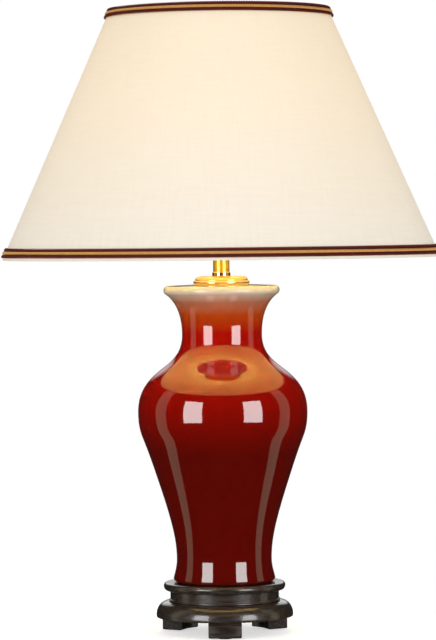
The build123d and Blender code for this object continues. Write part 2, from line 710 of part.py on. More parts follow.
# Lampholder cap: a threaded neck, a dome and a cup, with a cross hole for the switch's push bar
switch_plane = Plane(origin=(0, 0, switch_height), x_dir=(0, 1, 0), z_dir=(1, 0, 0))
switch_hole_radius = SWITCH_BAR_RADIUS + SLIDE_GAP
grub_height = tube_top + HOLDER_NECK_HEIGHT / 2
grub_plane = Plane(origin=(0, ROD_RADIUS + GLUE_GAP, grub_height), x_dir=(1, 0, 0), z_dir=(0, 1, 0))
with BuildPart() as holder_cap:
    with BuildSketch(Plane.XZ):
        with BuildLine():
            Polyline(
                (rod_hole_radius, tube_top),
                (HOLDER_NECK_RADIUS, tube_top),
                (HOLDER_NECK_RADIUS, holder_dome_bottom),
            )
            EllipticalCenterArc(
                (HOLDER_NECK_RADIUS, holder_cup_bottom),
                cup_outer_radius - HOLDER_NECK_RADIUS,
                HOLDER_DOME_HEIGHT,
                start_angle=-90,
                arc_size=90,
            )
            Polyline(
                (cup_outer_radius, holder_cup_bottom),
                (cup_outer_radius, holder_cup_top),
                (cup_inner_radius, holder_cup_top),
                (cup_inner_radius, holder_cup_bottom),
            )
            EllipticalCenterArc(
                (HOLDER_NECK_RADIUS, holder_cup_bottom),
                cup_inner_radius - HOLDER_NECK_RADIUS,
                HOLDER_DOME_HEIGHT - HOLDER_WALL,
                start_angle=-90,
                arc_size=90,
            )
            Polyline(
                (HOLDER_NECK_RADIUS, holder_dome_bottom + HOLDER_WALL),
                (rod_hole_radius, holder_dome_bottom + HOLDER_WALL),
                (rod_hole_radius, tube_top),
            )
        make_face()
    revolve(axis=Axis.Z)
    with BuildSketch(switch_plane):
        Circle(switch_hole_radius)
    extrude(amount=2 * cup_outer_radius, both=True, mode=Mode.SUBTRACT)
    with BuildSketch(grub_plane):
        Circle(GRUB_SCREW_RADIUS + GLUE_GAP)
    extrude(amount=HOLDER_NECK_RADIUS, mode=Mode.SUBTRACT)
keep("holder_cap", holder_cap)

with BuildPart() as holder_grub_screw:
    with BuildSketch(grub_plane):
        Circle(GRUB_SCREW_RADIUS)
    extrude(amount=GRUB_SCREW_LENGTH)
keep("holder_grub_screw", holder_grub_screw)

with BuildPart() as holder_mantle:
    with BuildSketch(Plane.XY.offset(mantle_bottom)):
        ring_plan(MANTLE_RADIUS, MANTLE_RADIUS - MANTLE_WALL)
    extrude(amount=MANTLE_HEIGHT)
keep("holder_mantle", holder_mantle)

# Terminal screws: round heads under the core
with BuildPart() as holder_terminal_screws:
    with BuildSketch(Plane.XY.offset(core_bottom - TERMINAL_SCREW_HEAD_HEIGHT)):
        with GridLocations(1, TERMINAL_SCREW_SPACING, 1, 2):
            Circle(TERMINAL_SCREW_HEAD_RADIUS)
    extrude(amount=TERMINAL_SCREW_HEAD_HEIGHT)
    with BuildSketch(Plane.XY.offset(core_bottom)):
        with GridLocations(1, TERMINAL_SCREW_SPACING, 1, 2):
            Circle(TERMINAL_SCREW_RADIUS)
    extrude(amount=TERMINAL_SCREW_DEPTH)
keep("holder_terminal_screws", holder_terminal_screws)

# Core: a ceramic cup whose flange the mantle clamps in the cap
with BuildPart() as holder_core:
    with BuildSketch(Plane.XZ):
        with BuildLine():
            Polyline(
                (0, core_bottom),
                (cup_inner_radius - GLUE_GAP, core_bottom),
                (cup_inner_radius - GLUE_GAP, mantle_bottom - GLUE_GAP),
                (core_radius, mantle_bottom - GLUE_GAP),
                (core_radius, mantle_top),
                (CORE_BORE_RADIUS, mantle_top),
                (CORE_BORE_RADIUS, core_floor),
                (0, core_floor),
                close=True,
            )
        make_face()
    revolve(axis=Axis.Z)
    with BuildSketch(switch_plane):
        Circle(switch_hole_radius)
    extrude(amount=2 * cup_outer_radius, both=True, mode=Mode.SUBTRACT)
    with BuildSketch(Plane.XY.offset(core_bottom)):
        with GridLocations(1, TERMINAL_SCREW_SPACING, 1, 2):
            Circle(TERMINAL_SCREW_RADIUS + GLUE_GAP)
    extrude(amount=TERMINAL_SCREW_DEPTH + GLUE_GAP, mode=Mode.SUBTRACT)
keep("holder_core", holder_core)

with BuildPart() as holder_screw_shell:
    shell_radius = CORE_BORE_RADIUS - SLIDE_GAP
    with BuildSketch(Plane.XY.offset(core_floor)):
        ring_plan(shell_radius, shell_radius - SCREW_SHELL_WALL)
    extrude(amount=SCREW_SHELL_HEIGHT)
keep("holder_screw_shell", holder_screw_shell)

# Centre contact: a bent strip on the core's floor, under the bulb's tip
with BuildPart() as holder_centre_contact:
    strip_under = [
        (-CONTACT_HALF_LENGTH, core_floor),
        (-CONTACT_HALF_LENGTH / 2, core_floor),
        (-CONTACT_HALF_LENGTH / 4, core_floor + CONTACT_RISE - CONTACT_THICKNESS),
        (CONTACT_HALF_LENGTH / 4, core_floor + CONTACT_RISE - CONTACT_THICKNESS),
        (CONTACT_HALF_LENGTH / 2, core_floor),
        (CONTACT_HALF_LENGTH, core_floor),
    ]
    strip_over = [(x, z + CONTACT_THICKNESS) for x, z in reversed(strip_under)]
    with BuildSketch(Plane.XZ):
        with BuildLine():
            Polyline(*strip_under, *strip_over, close=True)
        make_face()
    extrude(amount=CONTACT_WIDTH / 2, both=True)
keep("holder_centre_contact", holder_centre_contact)

# Push bar of the switch: pushed out on the right at rest
with BuildPart() as switch_push_bar:
    bar_start = -(cup_outer_radius + SWITCH_BAR_REACH)
    bar_length = 2 * (cup_outer_radius + SWITCH_BAR_REACH) + SWITCH_TRAVEL
    with BuildSketch(switch_plane.offset(bar_start)):
        Circle(SWITCH_BAR_RADIUS)
    extrude(amount=bar_length)
    fillet(switch_push_bar.edges().filter_by(GeomType.CIRCLE), SWITCH_BAR_ROUND)
keep("switch_push_bar", switch_push_bar)


# Shade rings: flanged nuts on the mantle's thread, notched for the fingers
def shade_ring(name, flange_face, flange_side):
    """One ring with its flange's face at a height, and its hub on the other side of the flange."""
    hub_end = flange_face + flange_side * SHADE_RING_HEIGHT
    flange_back = flange_face + flange_side * SHADE_RING_FLANGE
    with BuildPart() as nut:
        with BuildSketch(Plane.XY.offset(min(flange_face, flange_back))):
            ring_plan(SHADE_RING_RADIUS, cup_inner_radius)
        extrude(amount=SHADE_RING_FLANGE)
        with BuildSketch(Plane.XY.offset(min(flange_face, hub_end))):
            ring_plan(SHADE_RING_HUB_RADIUS, cup_inner_radius)
        extrude(amount=SHADE_RING_HEIGHT)
        with BuildSketch(Plane.XY.offset(min(flange_face, flange_back))):
            with PolarLocations(SHADE_RING_RADIUS, SHADE_RING_NOTCHES):
                Circle(SHADE_RING_NOTCH_RADIUS)
        extrude(amount=SHADE_RING_FLANGE, mode=Mode.SUBTRACT)
    keep(name, nut)


shade_ring("shade_ring_lower", fitter_bottom - CLAMP_GAP, -1)
shade_ring("shade_ring_upper", fitter_top + CLAMP_GAP, 1)

# Bulb: a pear-shaped glass on a screw cap, its tip just over the centre contact
bulb_globe_height = bulb_bottom + BULB_LENGTH - BULB_GLOBE_RADIUS
bulb_neck_bottom = bulb_bottom + BULB_NECK_START
bulb_cap_bottom = bulb_bottom + BULB_TIP_HEIGHT + BULB_INSULATOR_HEIGHT
bulb_cap_root = BULB_CAP_RADIUS - BULB_THREAD_DEPTH
insulator_top_radius = bulb_cap_root - BULB_CAP_WALL - GLUE_GAP


def bulb_outline(inset):
    """Draw the glass's side in the open line, from its neck to its top, set in by a wall."""
    shoulder = radians(BULB_SHOULDER_ANGLE)
    radius = BULB_GLOBE_RADIUS - inset
    neck_end = (BULB_NECK_RADIUS - inset, bulb_neck_bottom + BULB_NECK_STRAIGHT)
    Line((BULB_NECK_RADIUS - inset, bulb_neck_bottom), neck_end)
    Spline(
        neck_end,
        (radius * cos(shoulder), bulb_globe_height - radius * sin(shoulder)),
        tangents=(upright, (sin(shoulder), cos(shoulder))),
    )
    CenterArc((0, bulb_globe_height), radius, -BULB_SHOULDER_ANGLE, 90 + BULB_SHOULDER_ANGLE)


with BuildPart() as bulb_glass:
    with BuildSketch(Plane.XZ):
        with BuildLine():
            bulb_outline(0)
            bulb_outline(BULB_GLASS_WALL)
            bulb_crown = bulb_globe_height + BULB_GLOBE_RADIUS
            Line((BULB_NECK_RADIUS - BULB_GLASS_WALL, bulb_neck_bottom), (BULB_NECK_RADIUS, bulb_neck_bottom))
            Line((0, bulb_crown - BULB_GLASS_WALL), (0, bulb_crown))
        make_face()
    revolve(axis=Axis.Z)
keep("bulb_glass", bulb_glass)

with BuildPart() as bulb_screw_cap:
    thread_top = bulb_cap_bottom + BULB_THREAD_TURNS * BULB_THREAD_PITCH
    half_turns = range(2 * BULB_THREAD_TURNS + 1)
    thread = [
        (BULB_CAP_RADIUS - BULB_THREAD_DEPTH * ((i + 1) % 2), bulb_cap_bottom + i * BULB_THREAD_PITCH / 2)
        for i in half_turns
    ]
    with BuildSketch(Plane.XZ):
        with BuildLine():
            Spline(*thread)
            Polyline(
                thread[-1],
                (BULB_NECK_RADIUS + GLUE_GAP + BULB_CAP_WALL, thread_top),
                (BULB_NECK_RADIUS + GLUE_GAP + BULB_CAP_WALL, bulb_bottom + BULB_CAP_TOP),
                (BULB_NECK_RADIUS + GLUE_GAP, bulb_bottom + BULB_CAP_TOP),
                (BULB_NECK_RADIUS + GLUE_GAP, bulb_neck_bottom - GLUE_GAP),
                (bulb_cap_root - BULB_CAP_WALL, bulb_neck_bottom - GLUE_GAP),
                (bulb_cap_root - BULB_CAP_WALL, bulb_cap_bottom),
                thread[0],
            )
        make_face()
    revolve(axis=Axis.Z)
keep("bulb_screw_cap", bulb_screw_cap)

with BuildPart() as bulb_insulator:
    with BuildSketch(Plane.XZ):
        with BuildLine():
            Polyline(
                (0, bulb_bottom + BULB_TIP_HEIGHT + GLUE_GAP),
                (BULB_INSULATOR_RADIUS, bulb_bottom + BULB_TIP_HEIGHT + GLUE_GAP),
                (insulator_top_radius, bulb_cap_bottom),
                (insulator_top_radius, bulb_cap_bottom + BULB_TIP_HEIGHT),
                (0, bulb_cap_bottom + BULB_TIP_HEIGHT),
                close=True,
            )
        make_face()
    revolve(axis=Axis.Z)
keep("bulb_insulator", bulb_insulator)

with BuildPart() as bulb_tip:
    with BuildSketch(Plane.XZ):
        with BuildLine():
            EllipticalCenterArc(
                (0, bulb_bottom + BULB_TIP_HEIGHT),
                BULB_TIP_RADIUS,
                BULB_TIP_HEIGHT,
                start_angle=-90,
                arc_size=90,
            )
            Polyline(
                (BULB_TIP_RADIUS, bulb_bottom + BULB_TIP_HEIGHT),
                (0, bulb_bottom + BULB_TIP_HEIGHT),
                (0, bulb_bottom),
            )
        make_face()
    revolve(axis=Axis.Z)
keep("bulb_tip", bulb_tip)

# Stem and filament: a flared glass foot in the neck, and a wire bridge on its top
stem_top = bulb_neck_bottom + BULB_STEM_HEIGHT
with BuildPart() as bulb_stem:
    with BuildSketch(Plane.XZ):
        with BuildLine():
            Polyline(
                (0, bulb_neck_bottom),
                (BULB_NECK_RADIUS - BULB_GLASS_WALL - GLUE_GAP, bulb_neck_bottom),
                (BULB_NECK_RADIUS - BULB_GLASS_WALL - GLUE_GAP, bulb_neck_bottom + BULB_STEM_FLARE),
                (BULB_STEM_RADIUS, bulb_neck_bottom + BULB_STEM_HEIGHT / 2),
                (BULB_STEM_RADIUS, stem_top),
                (0, stem_top),
                close=True,
            )
        make_face()
    revolve(axis=Axis.Z)
keep("bulb_stem", bulb_stem)

with BuildPart() as bulb_filament:
    leg_foot = BULB_STEM_RADIUS / 2
    leg_bottom = stem_top + FILAMENT_RADIUS
    with BuildLine(Plane.XZ) as filament_path:
        FilletPolyline(
            (-leg_foot, leg_bottom),
            (-FILAMENT_SPAN / 2, stem_top + FILAMENT_HEIGHT),
            (FILAMENT_SPAN / 2, stem_top + FILAMENT_HEIGHT),
            (leg_foot, leg_bottom),
            radius=FILAMENT_BEND,
        )
    with BuildSketch(filament_path.line ^ 0):
        Circle(FILAMENT_RADIUS)
    sweep()
keep("bulb_filament", bulb_filament)

# Shade frame: fitter ring between the shade rings, struts up to the top wire, and a bottom wire
with BuildPart() as shade_fitter:
    with BuildSketch(Plane.XY.offset(fitter_bottom)):
        ring_plan(FITTER_RADIUS, MANTLE_RADIUS + FITTER_CLEARANCE)
    extrude(amount=FITTER_THICKNESS)
keep("shade_fitter", shade_fitter)


def cone_radius(height, depth):
    """The shade's radius at a height, at a depth below the cover's outer face."""
    return SHADE_TOP_RADIUS + (shade_top - height) * tan(shade_slope) - depth * level


def wire_section(height):
    """Draw the section of a wire ring that lies against the lining, in the open sketch."""
    with Locations((cone_radius(height, shade_wall + GLUE_GAP + SHADE_WIRE_RADIUS), height)):
        Circle(SHADE_WIRE_RADIUS)


top_wire_height = shade_top - SHADE_WIRE_INSET
bottom_wire_height = shade_bottom + SHADE_WIRE_INSET
with BuildPart() as shade_top_wire:
    with BuildSketch(Plane.XZ):
        wire_section(top_wire_height)
    revolve(axis=Axis.Z)
keep("shade_top_wire", shade_top_wire)

with BuildPart() as shade_bottom_wire:
    with BuildSketch(Plane.XZ):
        wire_section(bottom_wire_height)
    revolve(axis=Axis.Z)
keep("shade_bottom_wire", shade_bottom_wire)

strut_names = ("shade_strut_back", "shade_strut_left", "shade_strut_right")
strut_foot_radius = (SHADE_RING_RADIUS + FITTER_RADIUS) / 2
strut_head_radius = cone_radius(top_wire_height, shade_wall + GLUE_GAP + SHADE_WIRE_RADIUS)
strut_lean = atan2(strut_head_radius - strut_foot_radius, top_wire_height - fitter_top)
strut_reach = (top_wire_height - fitter_top) / cos(strut_lean)
for strut_index, strut_name in enumerate(strut_names):
    strut_turn = radians(STRUT_FIRST_ANGLE + strut_index * 360 / len(strut_names))
    outward = Vector(cos(strut_turn), sin(strut_turn), 0)
    strut_foot = outward * strut_foot_radius + Vector(0, 0, fitter_top)
    strut_way = outward * sin(strut_lean) + Vector(0, 0, cos(strut_lean))
    with BuildPart() as strut:
        with BuildSketch(Plane(origin=strut_foot, z_dir=strut_way)):
            Circle(STRUT_RADIUS)
        extrude(amount=strut_reach - SHADE_WIRE_RADIUS - GLUE_GAP)
        extrude(strut.faces().sort_by(Axis.Z)[0], amount=2 * STRUT_RADIUS)
        split(bisect_by=Plane.XY.offset(fitter_top), keep=Keep.TOP)
    keep(strut_name, strut)


# Cover and lining: two cones, one inside the other
def cone_skin(name, depth, thickness):
    """A sheet of the shade that starts at a depth below the cover's outer face."""
    with BuildPart() as skin:
        with BuildSketch(Plane.XZ):
            with BuildLine():
                Polyline(
                    (cone_radius(shade_top, depth), shade_top),
                    (cone_radius(shade_bottom, depth), shade_bottom),
                    (cone_radius(shade_bottom, depth + thickness), shade_bottom),
                    (cone_radius(shade_top, depth + thickness), shade_top),
                    close=True,
                )
            make_face()
        revolve(axis=Axis.Z)
    keep(name, skin)


cone_skin("shade_cover", 0, COVER_THICKNESS)
cone_skin("shade_lining", lining_start, LINING_THICKNESS)


# Trims: a ribbon with a rolled cord along each edge, and a gold cord laid along its middle
def trim(place, height):
    """The ribbon and gold cord of one trim, whose middle lies on the cover at a height."""
    outward = Vector(cos(shade_slope), 0, sin(shade_slope))
    seat = Plane(origin=(cone_radius(height, 0), 0, height), x_dir=outward, z_dir=(0, -1, 0))
    cord_width = TRIM_WIDTH / 3
    gold_seat = GLUE_GAP + TRIM_RIBBON_THICKNESS + GLUE_GAP
    with BuildPart() as ribbon:
        with BuildSketch(seat):
            with Locations((GLUE_GAP + TRIM_RIBBON_THICKNESS / 2, 0)):
                Rectangle(TRIM_RIBBON_THICKNESS, TRIM_WIDTH - cord_width)
            with Locations((GLUE_GAP + TRIM_EDGE_CORD_HEIGHT / 2, 0)):
                with GridLocations(1, 2 * cord_width, 1, 2):
                    Ellipse(TRIM_EDGE_CORD_HEIGHT / 2, cord_width / 2)
        revolve(axis=Axis.Z)
    keep(f"trim_{place}_ribbon", ribbon)
    with BuildPart() as cord:
        with BuildSketch(seat):
            with Locations((gold_seat + TRIM_GOLD_CORD_HEIGHT / 2, 0)):
                Ellipse(TRIM_GOLD_CORD_HEIGHT / 2, TRIM_GOLD_CORD_WIDTH / 2)
        revolve(axis=Axis.Z)
    keep(f"trim_{place}_cord", cord)


trim_middle = TRIM_WIDTH / 2 * cos(shade_slope)
trim("top", shade_top - trim_middle)
trim("bottom", shade_bottom + TRIM_HEM + trim_middle)
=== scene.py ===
from math import atan2, cos, hypot, pi, radians, sin, tan

import bpy
from bpy.props import FloatProperty, FloatVectorProperty, PointerProperty
from bpy.types import Operator, Panel, PropertyGroup
from mathutils import Matrix, Vector


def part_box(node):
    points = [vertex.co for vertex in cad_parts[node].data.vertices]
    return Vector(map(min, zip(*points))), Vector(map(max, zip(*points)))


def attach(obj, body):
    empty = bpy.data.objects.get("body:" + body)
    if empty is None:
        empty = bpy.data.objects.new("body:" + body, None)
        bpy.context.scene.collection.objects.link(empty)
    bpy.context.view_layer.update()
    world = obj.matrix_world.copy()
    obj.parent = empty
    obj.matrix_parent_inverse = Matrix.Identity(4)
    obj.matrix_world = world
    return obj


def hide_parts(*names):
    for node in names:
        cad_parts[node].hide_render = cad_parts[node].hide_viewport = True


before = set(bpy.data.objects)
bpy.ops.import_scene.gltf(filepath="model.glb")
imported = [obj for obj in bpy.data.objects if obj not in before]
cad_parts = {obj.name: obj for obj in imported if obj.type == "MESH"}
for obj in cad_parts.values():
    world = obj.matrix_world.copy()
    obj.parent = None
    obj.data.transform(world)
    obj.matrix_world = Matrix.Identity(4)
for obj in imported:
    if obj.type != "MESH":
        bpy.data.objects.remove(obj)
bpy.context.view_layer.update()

bl_info = {
    "name": "Table lamp with a glazed vase",
    "version": (1, 0, 0),
    "blender": (4, 5, 0),
    "location": "View3D > Sidebar > Table lamp",
    "description": "Gives the packed table lamp its finishes, cloth and trims, and sets up its studio",
    "category": "Object",
}

MM = 0.001

# A noise texture's spots are about 0.4 of its unit wide; stretched to lines, they are about 0.5
SPOT = 0.4
LINE = 0.5
# Scale of a noise along the lines that it is stretched to
STRETCH = 0.08

# Steps round the felts, the table top, the cloth and the ribbon, and down the cloth
FELT_SIDES = 64
FLOOR_SIDES = 128
CLOTH_COLUMNS = 256
CLOTH_ROWS = 24
RIBBON_STEPS = 256
# Steps round a ply of a cord and along one of its turns
PLY_SIDES = 6
PLY_STEPS = 8
# How much of a cord's half width one ply takes, by the number of plies
PLY_SHARE = {2: 0.5, 3: 0.46}

# Painted glow of the bulb's light on the cloth: share of the shade's height from below, share of the
# full glow
GLOW_STOPS = ((0.0, 0.25), (0.35, 0.65), (0.7, 1.0), (0.9, 1.0), (1.0, 0.85))

# Places and sizes of the studio's lights in metres; softboxes and cards stand on both sides
SOFTBOX_SPOT = (0.98, -1.14, 0.45)
SOFTBOX_SIZE = (0.68, 0.95)
CARD_SPOT = (1.0, 0.0, 0.4)
CARD_SIZE = (0.34, 1.8)
BACK_SPOT = (0.0, 1.5, 0.45)
BACK_SIZE = (1.3, 0.95)
# Two lights in one place hide each other, so the glints stand a little nearer than the softboxes
GLINT_SHARE = 0.98
# The side cards are cream board
CARD_TINT = "FFFAD8"
# The glow under the shade is the bulb's light off the lining
MOUTH_TINT = "FFBC46"
# The way to the middle of the white paper, where its edge fades, and the room round it in mirrors
PAPER_WAY = (0.0, 0.9, 0.436)
PAPER_FADE = (0.925, 0.95)
ROOM_LEVEL = 0.01
# The table top's radius in metres, and the glow that makes it white to the camera
FLOOR_RADIUS = 0.26
FLOOR_GLOW = 0.6

# The nodes that share a finish
WOOD_NODES = (
    "foot_front", "foot_back_right", "foot_back_left", "foot_dowels", "stand_apron", "stand_waist",
    "stand_seat",
)
SPUN_BRASS_NODES = ("vase_cap", "neck_collar")
DRAWN_BRASS_NODES = (
    "neck_tube", "holder_cap", "holder_mantle", "shade_ring_lower", "shade_ring_upper",
    "holder_screw_shell", "holder_centre_contact", "holder_terminal_screws",
)
STEEL_NODES = (
    "stand_screws", "base_plate_screws", "threaded_rod", "rod_nut", "rod_lock_washer", "rod_washer",
    "holder_grub_screw", "bulb_tip",
)
FRAME_WIRE_NODES = (
    "shade_fitter", "shade_strut_back", "shade_strut_left", "shade_strut_right", "shade_top_wire",
    "shade_bottom_wire",
)
NYLON_NODES = ("cord_bushing", "switch_push_bar")


def linear(code):
    """An sRGB hex colour as linear red, green, blue and alpha."""
    channels = [int(code[i:i + 2], 16) / 255 for i in (0, 2, 4)]
    return (*[c / 12.92 if c <= 0.04045 else ((c + 0.055) / 1.055) ** 2.4 for c in channels], 1.0)


def dimmed(tint, share):
    """A linear colour at a share of its brightness."""
    return (*[share * channel for channel in tint[:3]], 1.0)


def colour(name, description, code):
    """A colour that the user may change, given as sRGB hex."""
    return FloatVectorProperty(
        name=name, description=description, default=linear(code), size=4, min=0.0, max=1.0,
        subtype="COLOR",
    )


def length(name, description, millimetres):
    """A length that the user may change, given in millimetres."""
    return FloatProperty(
        name=name, description=description, default=millimetres * MM, min=1e-5, precision=5,
        unit="LENGTH",
    )


def brightness(name, description, value):
    """A brightness that the user may change."""
    return FloatProperty(name=name, description=description, default=value, min=0.0)


def wattage(name, description, watts):
    """A light's power that the user may change, in watts."""
    return FloatProperty(
        name=name, description=description, default=watts, min=0.0, subtype="POWER"
    )


class LampColours(PropertyGroup):
    """Colours of the lamp's finishes"""

    glaze_lip: colour("Lip", "Bare cream glaze on the vase's lip", "E8DEC9")
    # Painted shade: the grey in this cream band stands for the shadow under the lip's overhang
    glaze_lip_shade: colour("Lip edge", "Grey cream under the lip", "CFB098")
    glaze_veil: colour("Veil", "Thinnest glaze where the lip ends", "BD7456")
    glaze_flush: colour("Flush", "Thin glaze below the lip", "B5440C")
    glaze_neck: colour("Neck red", "Glaze on the neck and shoulder", "A50E02")
    glaze_belly: colour("Belly red", "Glaze below the belly", "8A0A01")
    # Darker red towards the foot: partly thicker glaze, partly painted shade on the lower body
    glaze_foot_and_shade: colour("Foot red", "Thicker glaze on the lower body", "5E0802")
    wood_dark: colour("Wood", "Stained wood between its grain lines", "231C18")
    wood_grain: colour("Grain", "Lighter grain lines of the wood", "443A32")
    wood_worn: colour("Worn edge", "Wood where the stain has rubbed off", "7C4A30")
    # Partly painted light: the spun brass is paler for the bulb's highlight, the drawn brass yellower
    # for the lit shade that it mirrors
    brass_spun_and_highlight: colour("Spun brass", "Polished brass of the vase cap and the collar", "EFD2A2")
    brass_drawn_and_reflection: colour("Drawn brass", "Lacquered brass of the tube and the lampholder", "FBD154")
    cloth_low: colour("Cloth", "Shade cloth near its lower rim", "EEE8DC")
    # Painted light: the warmer tint of the cloth near the bulb stands for the bulb's light on it
    cloth_painted_warm: colour("Warmed cloth", "Shade cloth near the bulb", "E9E2D2")
    # The glow is painted light: emission on the cloth in place of the bulb's light shining through
    glow: colour("Glow", "Light of the bulb through the cloth", "FFC873")
    lining: colour("Lining", "Film behind the cloth", "F3E8C4")
    braid: colour("Braid", "Maroon ribbon and edge cords of the trim", "651A10")
    cord: colour("Cord", "Gold cord along the trim", "E9AC60")
    bulb: colour("Bulb light", "Light of the bulb", "FFEA86")


class LampSizes(PropertyGroup):
    """Sizes of the felts, the cloth, the trims and the patterns"""

    pad_radius: length("Foot pad", "Radius of the felt pad under each foot", 7.5)
    felt_hole: length("Felt hole", "Radius of the hole in the felt under the vase", 22.0)
    thread: length("Thread spacing", "Spacing of the cloth's threads as drawn", 1.4)
    seam: length("Seam", "Width of the cloth's glued overlap at the back", 12.0)
    cloth: length("Cloth", "Thickness of the shade's cloth", 0.5)
    hem: length("Hem", "Cloth that shows below the lower trim", 2.0)
    trim_width: length("Trim", "Width of the trim with its edge cords", 11.1)
    ribbon: length("Ribbon", "Thickness of the ribbon under the cords", 0.5)
    edge_height: length("Edge cord height", "Height of the edge cords", 1.9)
    cord_width: length("Cord width", "Width of the gold cord", 3.4)
    cord_height: length("Cord height", "Height of the gold cord", 1.9)
    cord_lay: length("Cord lay", "Length of one twist of the gold cord", 7.0)
    braid_lay: length("Braid lay", "Length of one twist of the edge cords", 5.5)
    grain: length("Grain", "Width of a grain line in the wood", 1.2)
    wear: length("Wear", "Width of the rubbed edge on the wood", 1.4)
    polish: length("Polish", "Spacing of the polishing lines on the brass", 0.5)
    glaze_run: length("Glaze run", "How far the glaze runs down unevenly", 1.6)


class LampStudio(PropertyGroup):
    """The light round the lamp and the camera's place"""

    bulb_strength: brightness("Bulb", "Brightness of the bulb's glass", 40.0)
    glow_strength: brightness("Glow", "Brightness of the lit cloth", 0.26)
    fill: brightness("Fill", "Level of the light from all round", 0.46)
    mouth_power: wattage("Shade mouth", "Power of the lit shade as glaze and brass mirror it", 0.34)
    softbox_power: wattage("Softboxes", "Power of each softbox", 8.6)
    glint_power: wattage("Glints", "Power of each softbox as the glaze mirrors it", 12.4)
    card_power: wattage("Side cards", "Power of each cream card at the side", 0.94)
    back_power: wattage("Back softbox", "Power of the softbox behind the lamp", 7.0)
    camera_distance: length("Distance", "How far in front of the lamp the camera stands", 3500.0)
    camera_height: length("Height", "How high above the table the camera stands", 425.0)
    aim_height: length("Aim", "Height on the lamp's axis that the camera aims at", 326.8)
    aim_side: length("Aim side", "How far left of the axis the camera aims", 4.0)
    camera_lens: FloatProperty(
        name="Lens", description="Focal length", default=188.5, min=1.0, unit="CAMERA"
    )
    camera_roll: FloatProperty(
        name="Roll", description="How far the camera is turned about its view",
        default=radians(0.6), unit="ROTATION",
    )


def add(tree, kind, links=None, inputs=None, stops=(), **settings):
    """Add a shader node with its settings, input values, links in and a ramp's stops.

    Gives the node's outputs. A mix node's sockets go by number: 0 is the share, 2 and 3 are the two
    values and 6 and 7 the two colours.
    """
    node = tree.nodes.new(kind)
    for name, value in settings.items():
        setattr(node, name, value)
    for name, value in (inputs or {}).items():
        node.inputs[name].default_value = value
    for name, socket in (links or {}).items():
        tree.links.new(socket, node.inputs[name])
    for index, (place, value) in enumerate(stops):
        elements = node.color_ramp.elements
        stop = elements[index] if index < len(elements) else elements.new(place)
        stop.position = place
        stop.color = value
    return node.outputs


def new_finish(name, **values):
    """A node material; each value goes on its shader's socket of that name."""
    material = bpy.data.materials.new(name)
    material.use_nodes = True
    shader = material.node_tree.nodes["Principled BSDF"]
    for socket, value in values.items():
        shader.inputs[socket.replace("_", " ")].default_value = value
    return material, material.node_tree, shader


def link(tree, shader, **sockets):
    """Link patterns to the shader's sockets."""
    for name, socket in sockets.items():
        tree.links.new(socket, shader.inputs[name.replace("_", " ")])


def speckled(name, dark, light, speckle, bump, detail=4.0, span=(0.3, 0.7), depth=0.2, **values):
    """A material whose colour and height vary in specks; speckle and depth are in millimetres."""
    material, tree, shader = new_finish(name, **values)
    place = add(tree, "ShaderNodeTexCoord")["Object"]
    specks = add(
        tree, "ShaderNodeTexNoise", {"Vector": place},
        {"Scale": SPOT / (speckle * MM), "Detail": detail},
    )["Fac"]
    body = add(
        tree, "ShaderNodeValToRGB", {"Fac": specks}, stops=((span[0], dark), (span[1], light))
    )["Color"]
    raised = add(
        tree, "ShaderNodeBump", {"Height": specks}, {"Strength": bump, "Distance": depth * MM}
    )["Normal"]
    link(tree, shader, Base_Color=body, Normal=raised)
    return material


def finish_nodes(names, material):
    """Give CAD nodes a material in place of their packed one."""
    for name in names:
        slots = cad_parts[name].data.materials
        slots.clear()
        slots.append(material)


def new_piece(name, vertices, faces, material, body, replaced):
    """A smooth mesh piece in the frame's place that rides on a body and stands for CAD nodes."""
    mesh = bpy.data.meshes.new(name)
    mesh.from_pydata(vertices, [], faces)
    mesh.materials.append(material)
    mesh.shade_smooth()
    piece = bpy.data.objects.new(name, mesh)
    bpy.context.scene.collection.objects.link(piece)
    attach(piece, body)
    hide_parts(*replaced)
    return piece


def tube_faces(rings, sides, start=0, closed=True):
    """Faces between rings of vertices, and from the last ring to the first where it is closed."""
    last = rings if closed else rings - 1
    faces = []
    for ring in range(last):
        here = start + ring * sides
        there = start + (ring + 1) % rings * sides
        for side in range(sides):
            after = (side + 1) % sides
            faces.append((here + side, here + after, there + after, there + side))
    return faces


def turned(radius, height, angle):
    """A point at a radius and a height, turned about the lamp's axis."""
    return (radius * cos(angle), radius * sin(angle), height)


def rim_radius(node, height, near=0.1 * MM):
    """The largest radius of a CAD node at a height."""
    points = [v.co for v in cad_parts[node].data.vertices]
    return max(hypot(p.x, p.y) for p in points if abs(p.z - height) < near)


